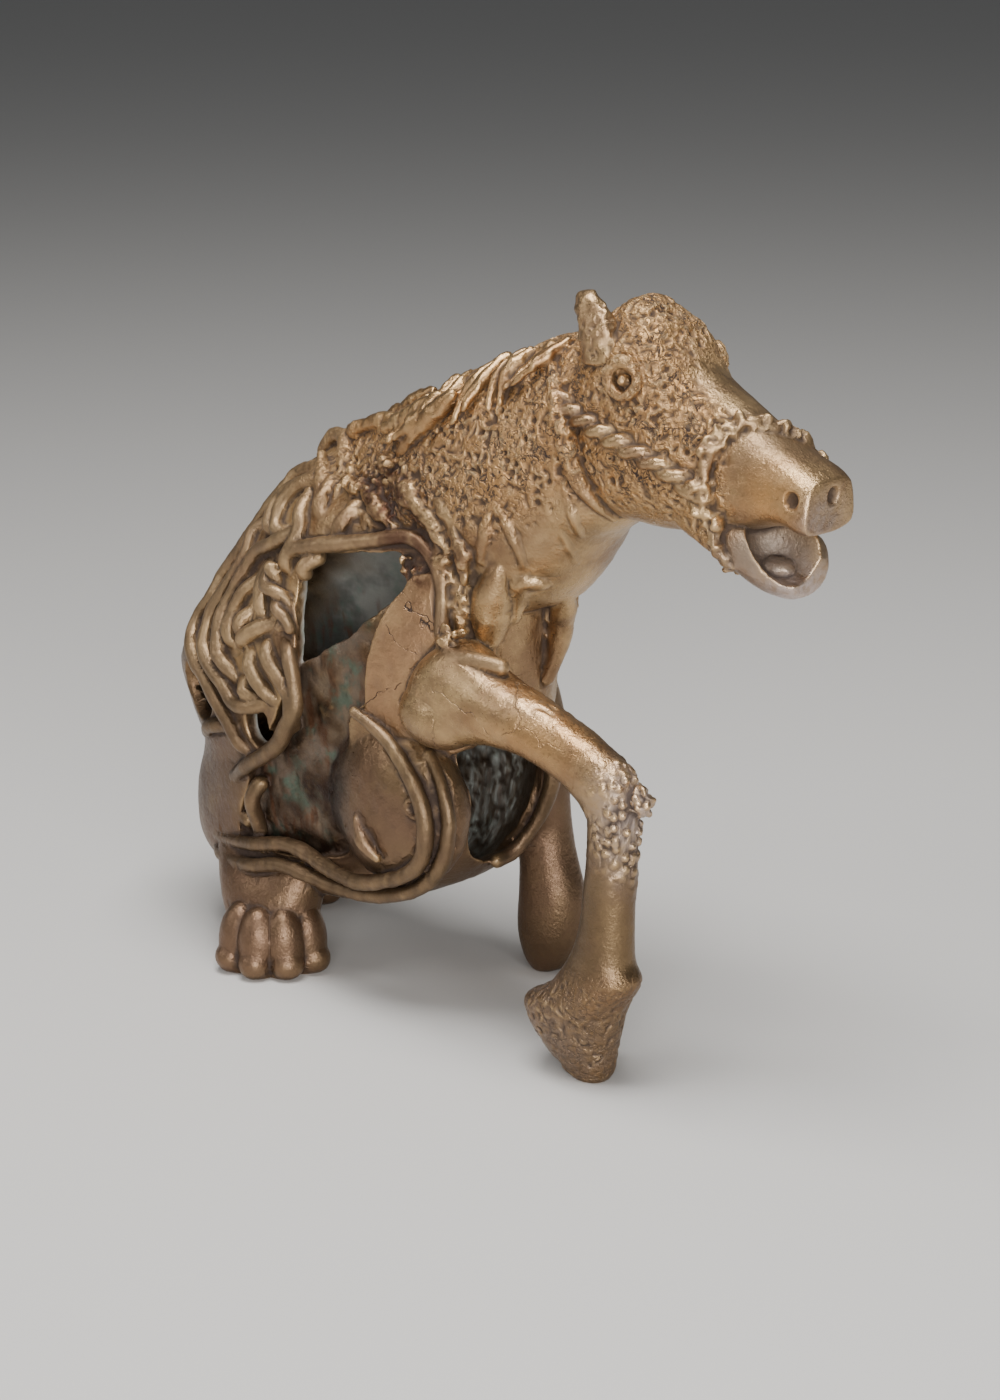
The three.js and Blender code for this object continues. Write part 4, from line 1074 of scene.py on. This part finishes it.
class HORSE_OT_casting(bpy.types.Operator):
    """Builds the horse's single casting and gives it its finish"""

    bl_idname = "horse.casting"
    bl_label = "Cast Brass Horse"

    def execute(self, context):
        sizes = context.scene.horse_sizes
        hollow, parts = body_parts()
        parts += neck_parts(hollow) + head_parts() + foreleg_parts(hollow) + hind_parts(hollow) + wire_parts()
        obj = joined(parts)
        fused(obj, sizes.voxel)
        horse = Skin(obj.data)
        horse.points = horse.softened(horse.points, 4)
        horse.parts = {kind: horse.softened(values, 3) for kind, values in horse.parts.items()}
        melt = melted(horse.points, horse.parts)[:, None]
        horse.points = horse.points + melt * (horse.softened(horse.points, 70) - horse.points)
        horse.find_normals()
        horse.points = horse.points + horse.normals * (sizes.relief * relief(horse))[:, None]
        horse.points[:, 2] = np.maximum(horse.points[:, 2], 0)
        horse.find_normals()
        for name, values in finish_numbers(horse).items():
            keep_number(obj.data, name, values)
        for kind in PARTS:
            obj.data.attributes.remove(obj.data.attributes[kind])
        thin = obj.modifiers.new("thin", "DECIMATE")
        thin.ratio = min(1.0, TRIANGLES / (2 * len(obj.data.polygons)))
        mesh = bpy.data.meshes.new_from_object(obj.evaluated_get(context.evaluated_depsgraph_get()))
        obj.modifiers.clear()
        old, obj.data = obj.data, mesh
        bpy.data.meshes.remove(old)
        mesh.name = "horse_casting"
        points = np.empty(len(mesh.vertices) * 3)
        mesh.vertices.foreach_get("co", points)
        points = (points.reshape(-1, 3) - DRAWN_CENTRE) * MM
        mesh.vertices.foreach_set("co", points.ravel())
        mesh.update()
        mesh.shade_smooth()
        mesh.materials.clear()
        mesh.materials.append(cast_brass_material(context.scene.horse_colours))
        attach(obj, "root")
        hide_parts("horse")
        return {"FINISHED"}


class HORSE_OT_stage(bpy.types.Operator):
    """Sets the pale floor, the soft studio lights and the camera"""

    bl_idname = "horse.stage"
    bl_label = "Set Up Studio"

    def execute(self, context):
        scene = context.scene
        corners = FLOOR_HALF * np.array([[-1, -1, 0], [1, -1, 0], [1, 1, 0], [-1, 1, 0]])
        floor = put_mesh("floor", corners, [[0, 1, 2, 3]])
        paper = bpy.data.materials.new("matt_studio_paper")
        paper.use_nodes = True
        shader = paper.node_tree.nodes["Principled BSDF"]
        shader.inputs["Base Color"].default_value = linear("#CFCCC8")
        shader.inputs["Roughness"].default_value = 0.9
        floor.data.materials.append(paper)

        world = bpy.data.worlds.new("studio")
        world.use_nodes = True
        background = world.node_tree.nodes["Background"]
        background.inputs["Color"].default_value = linear("#C4C8CC")
        background.inputs["Strength"].default_value = 0.18
        scene.world = world
        for name, place, size, power in LAMPS:
            light = bpy.data.lights.new(name, "AREA")
            light.size = size
            light.energy = power
            lamp = bpy.data.objects.new(name, light)
            lamp.location = place
            lamp.rotation_euler = (Vector(LAMPS_AIM) - lamp.location).to_track_quat("-Z", "Y").to_euler()
            scene.collection.objects.link(lamp)

        lens = bpy.data.cameras.new("camera")
        lens.lens = LENS
        lens.sensor_width = SENSOR
        lens.sensor_fit = "AUTO"
        lens.clip_start = 0.05
        camera = bpy.data.objects.new("camera", lens)
        camera.location = (CAMERA_PLACE - DRAWN_CENTRE) * MM
        azimuth, elevation = (math.radians(a) for a in CAMERA_ANGLES)
        camera.rotation_euler = (math.pi / 2 - elevation, 0, azimuth)
        scene.collection.objects.link(camera)
        scene.camera = camera
        return {"FINISHED"}


class HORSE_PT_panel(bpy.types.Panel):
    """Sizes, colours and the two steps, in the 3D view's sidebar"""

    bl_label = "Brass Horse"
    bl_idname = "HORSE_PT_panel"
    bl_space_type = "VIEW_3D"
    bl_region_type = "UI"
    bl_category = "Horse"

    def draw(self, context):
        for group in (context.scene.horse_sizes, context.scene.horse_colours):
            box = self.layout.box()
            for name in group.__annotations__:
                box.prop(group, name)
        self.layout.operator(HORSE_OT_casting.bl_idname)
        self.layout.operator(HORSE_OT_stage.bl_idname)


CLASSES = (HorseSizes, HorseColours, HORSE_OT_casting, HORSE_OT_stage, HORSE_PT_panel)


def register():
    """Makes the settings, the operators and the panel known."""
    for cls in CLASSES:
        bpy.utils.register_class(cls)
    bpy.types.Scene.horse_sizes = PointerProperty(type=HorseSizes)
    bpy.types.Scene.horse_colours = PointerProperty(type=HorseColours)


def unregister():
    """Takes them away again."""
    del bpy.types.Scene.horse_colours
    del bpy.types.Scene.horse_sizes
    for cls in reversed(CLASSES):
        bpy.utils.unregister_class(cls)


def main():
    """Builds the horse and its studio."""
    register()
    bpy.ops.horse.casting()
    bpy.ops.horse.stage()


if __name__ == "__main__":
    main()
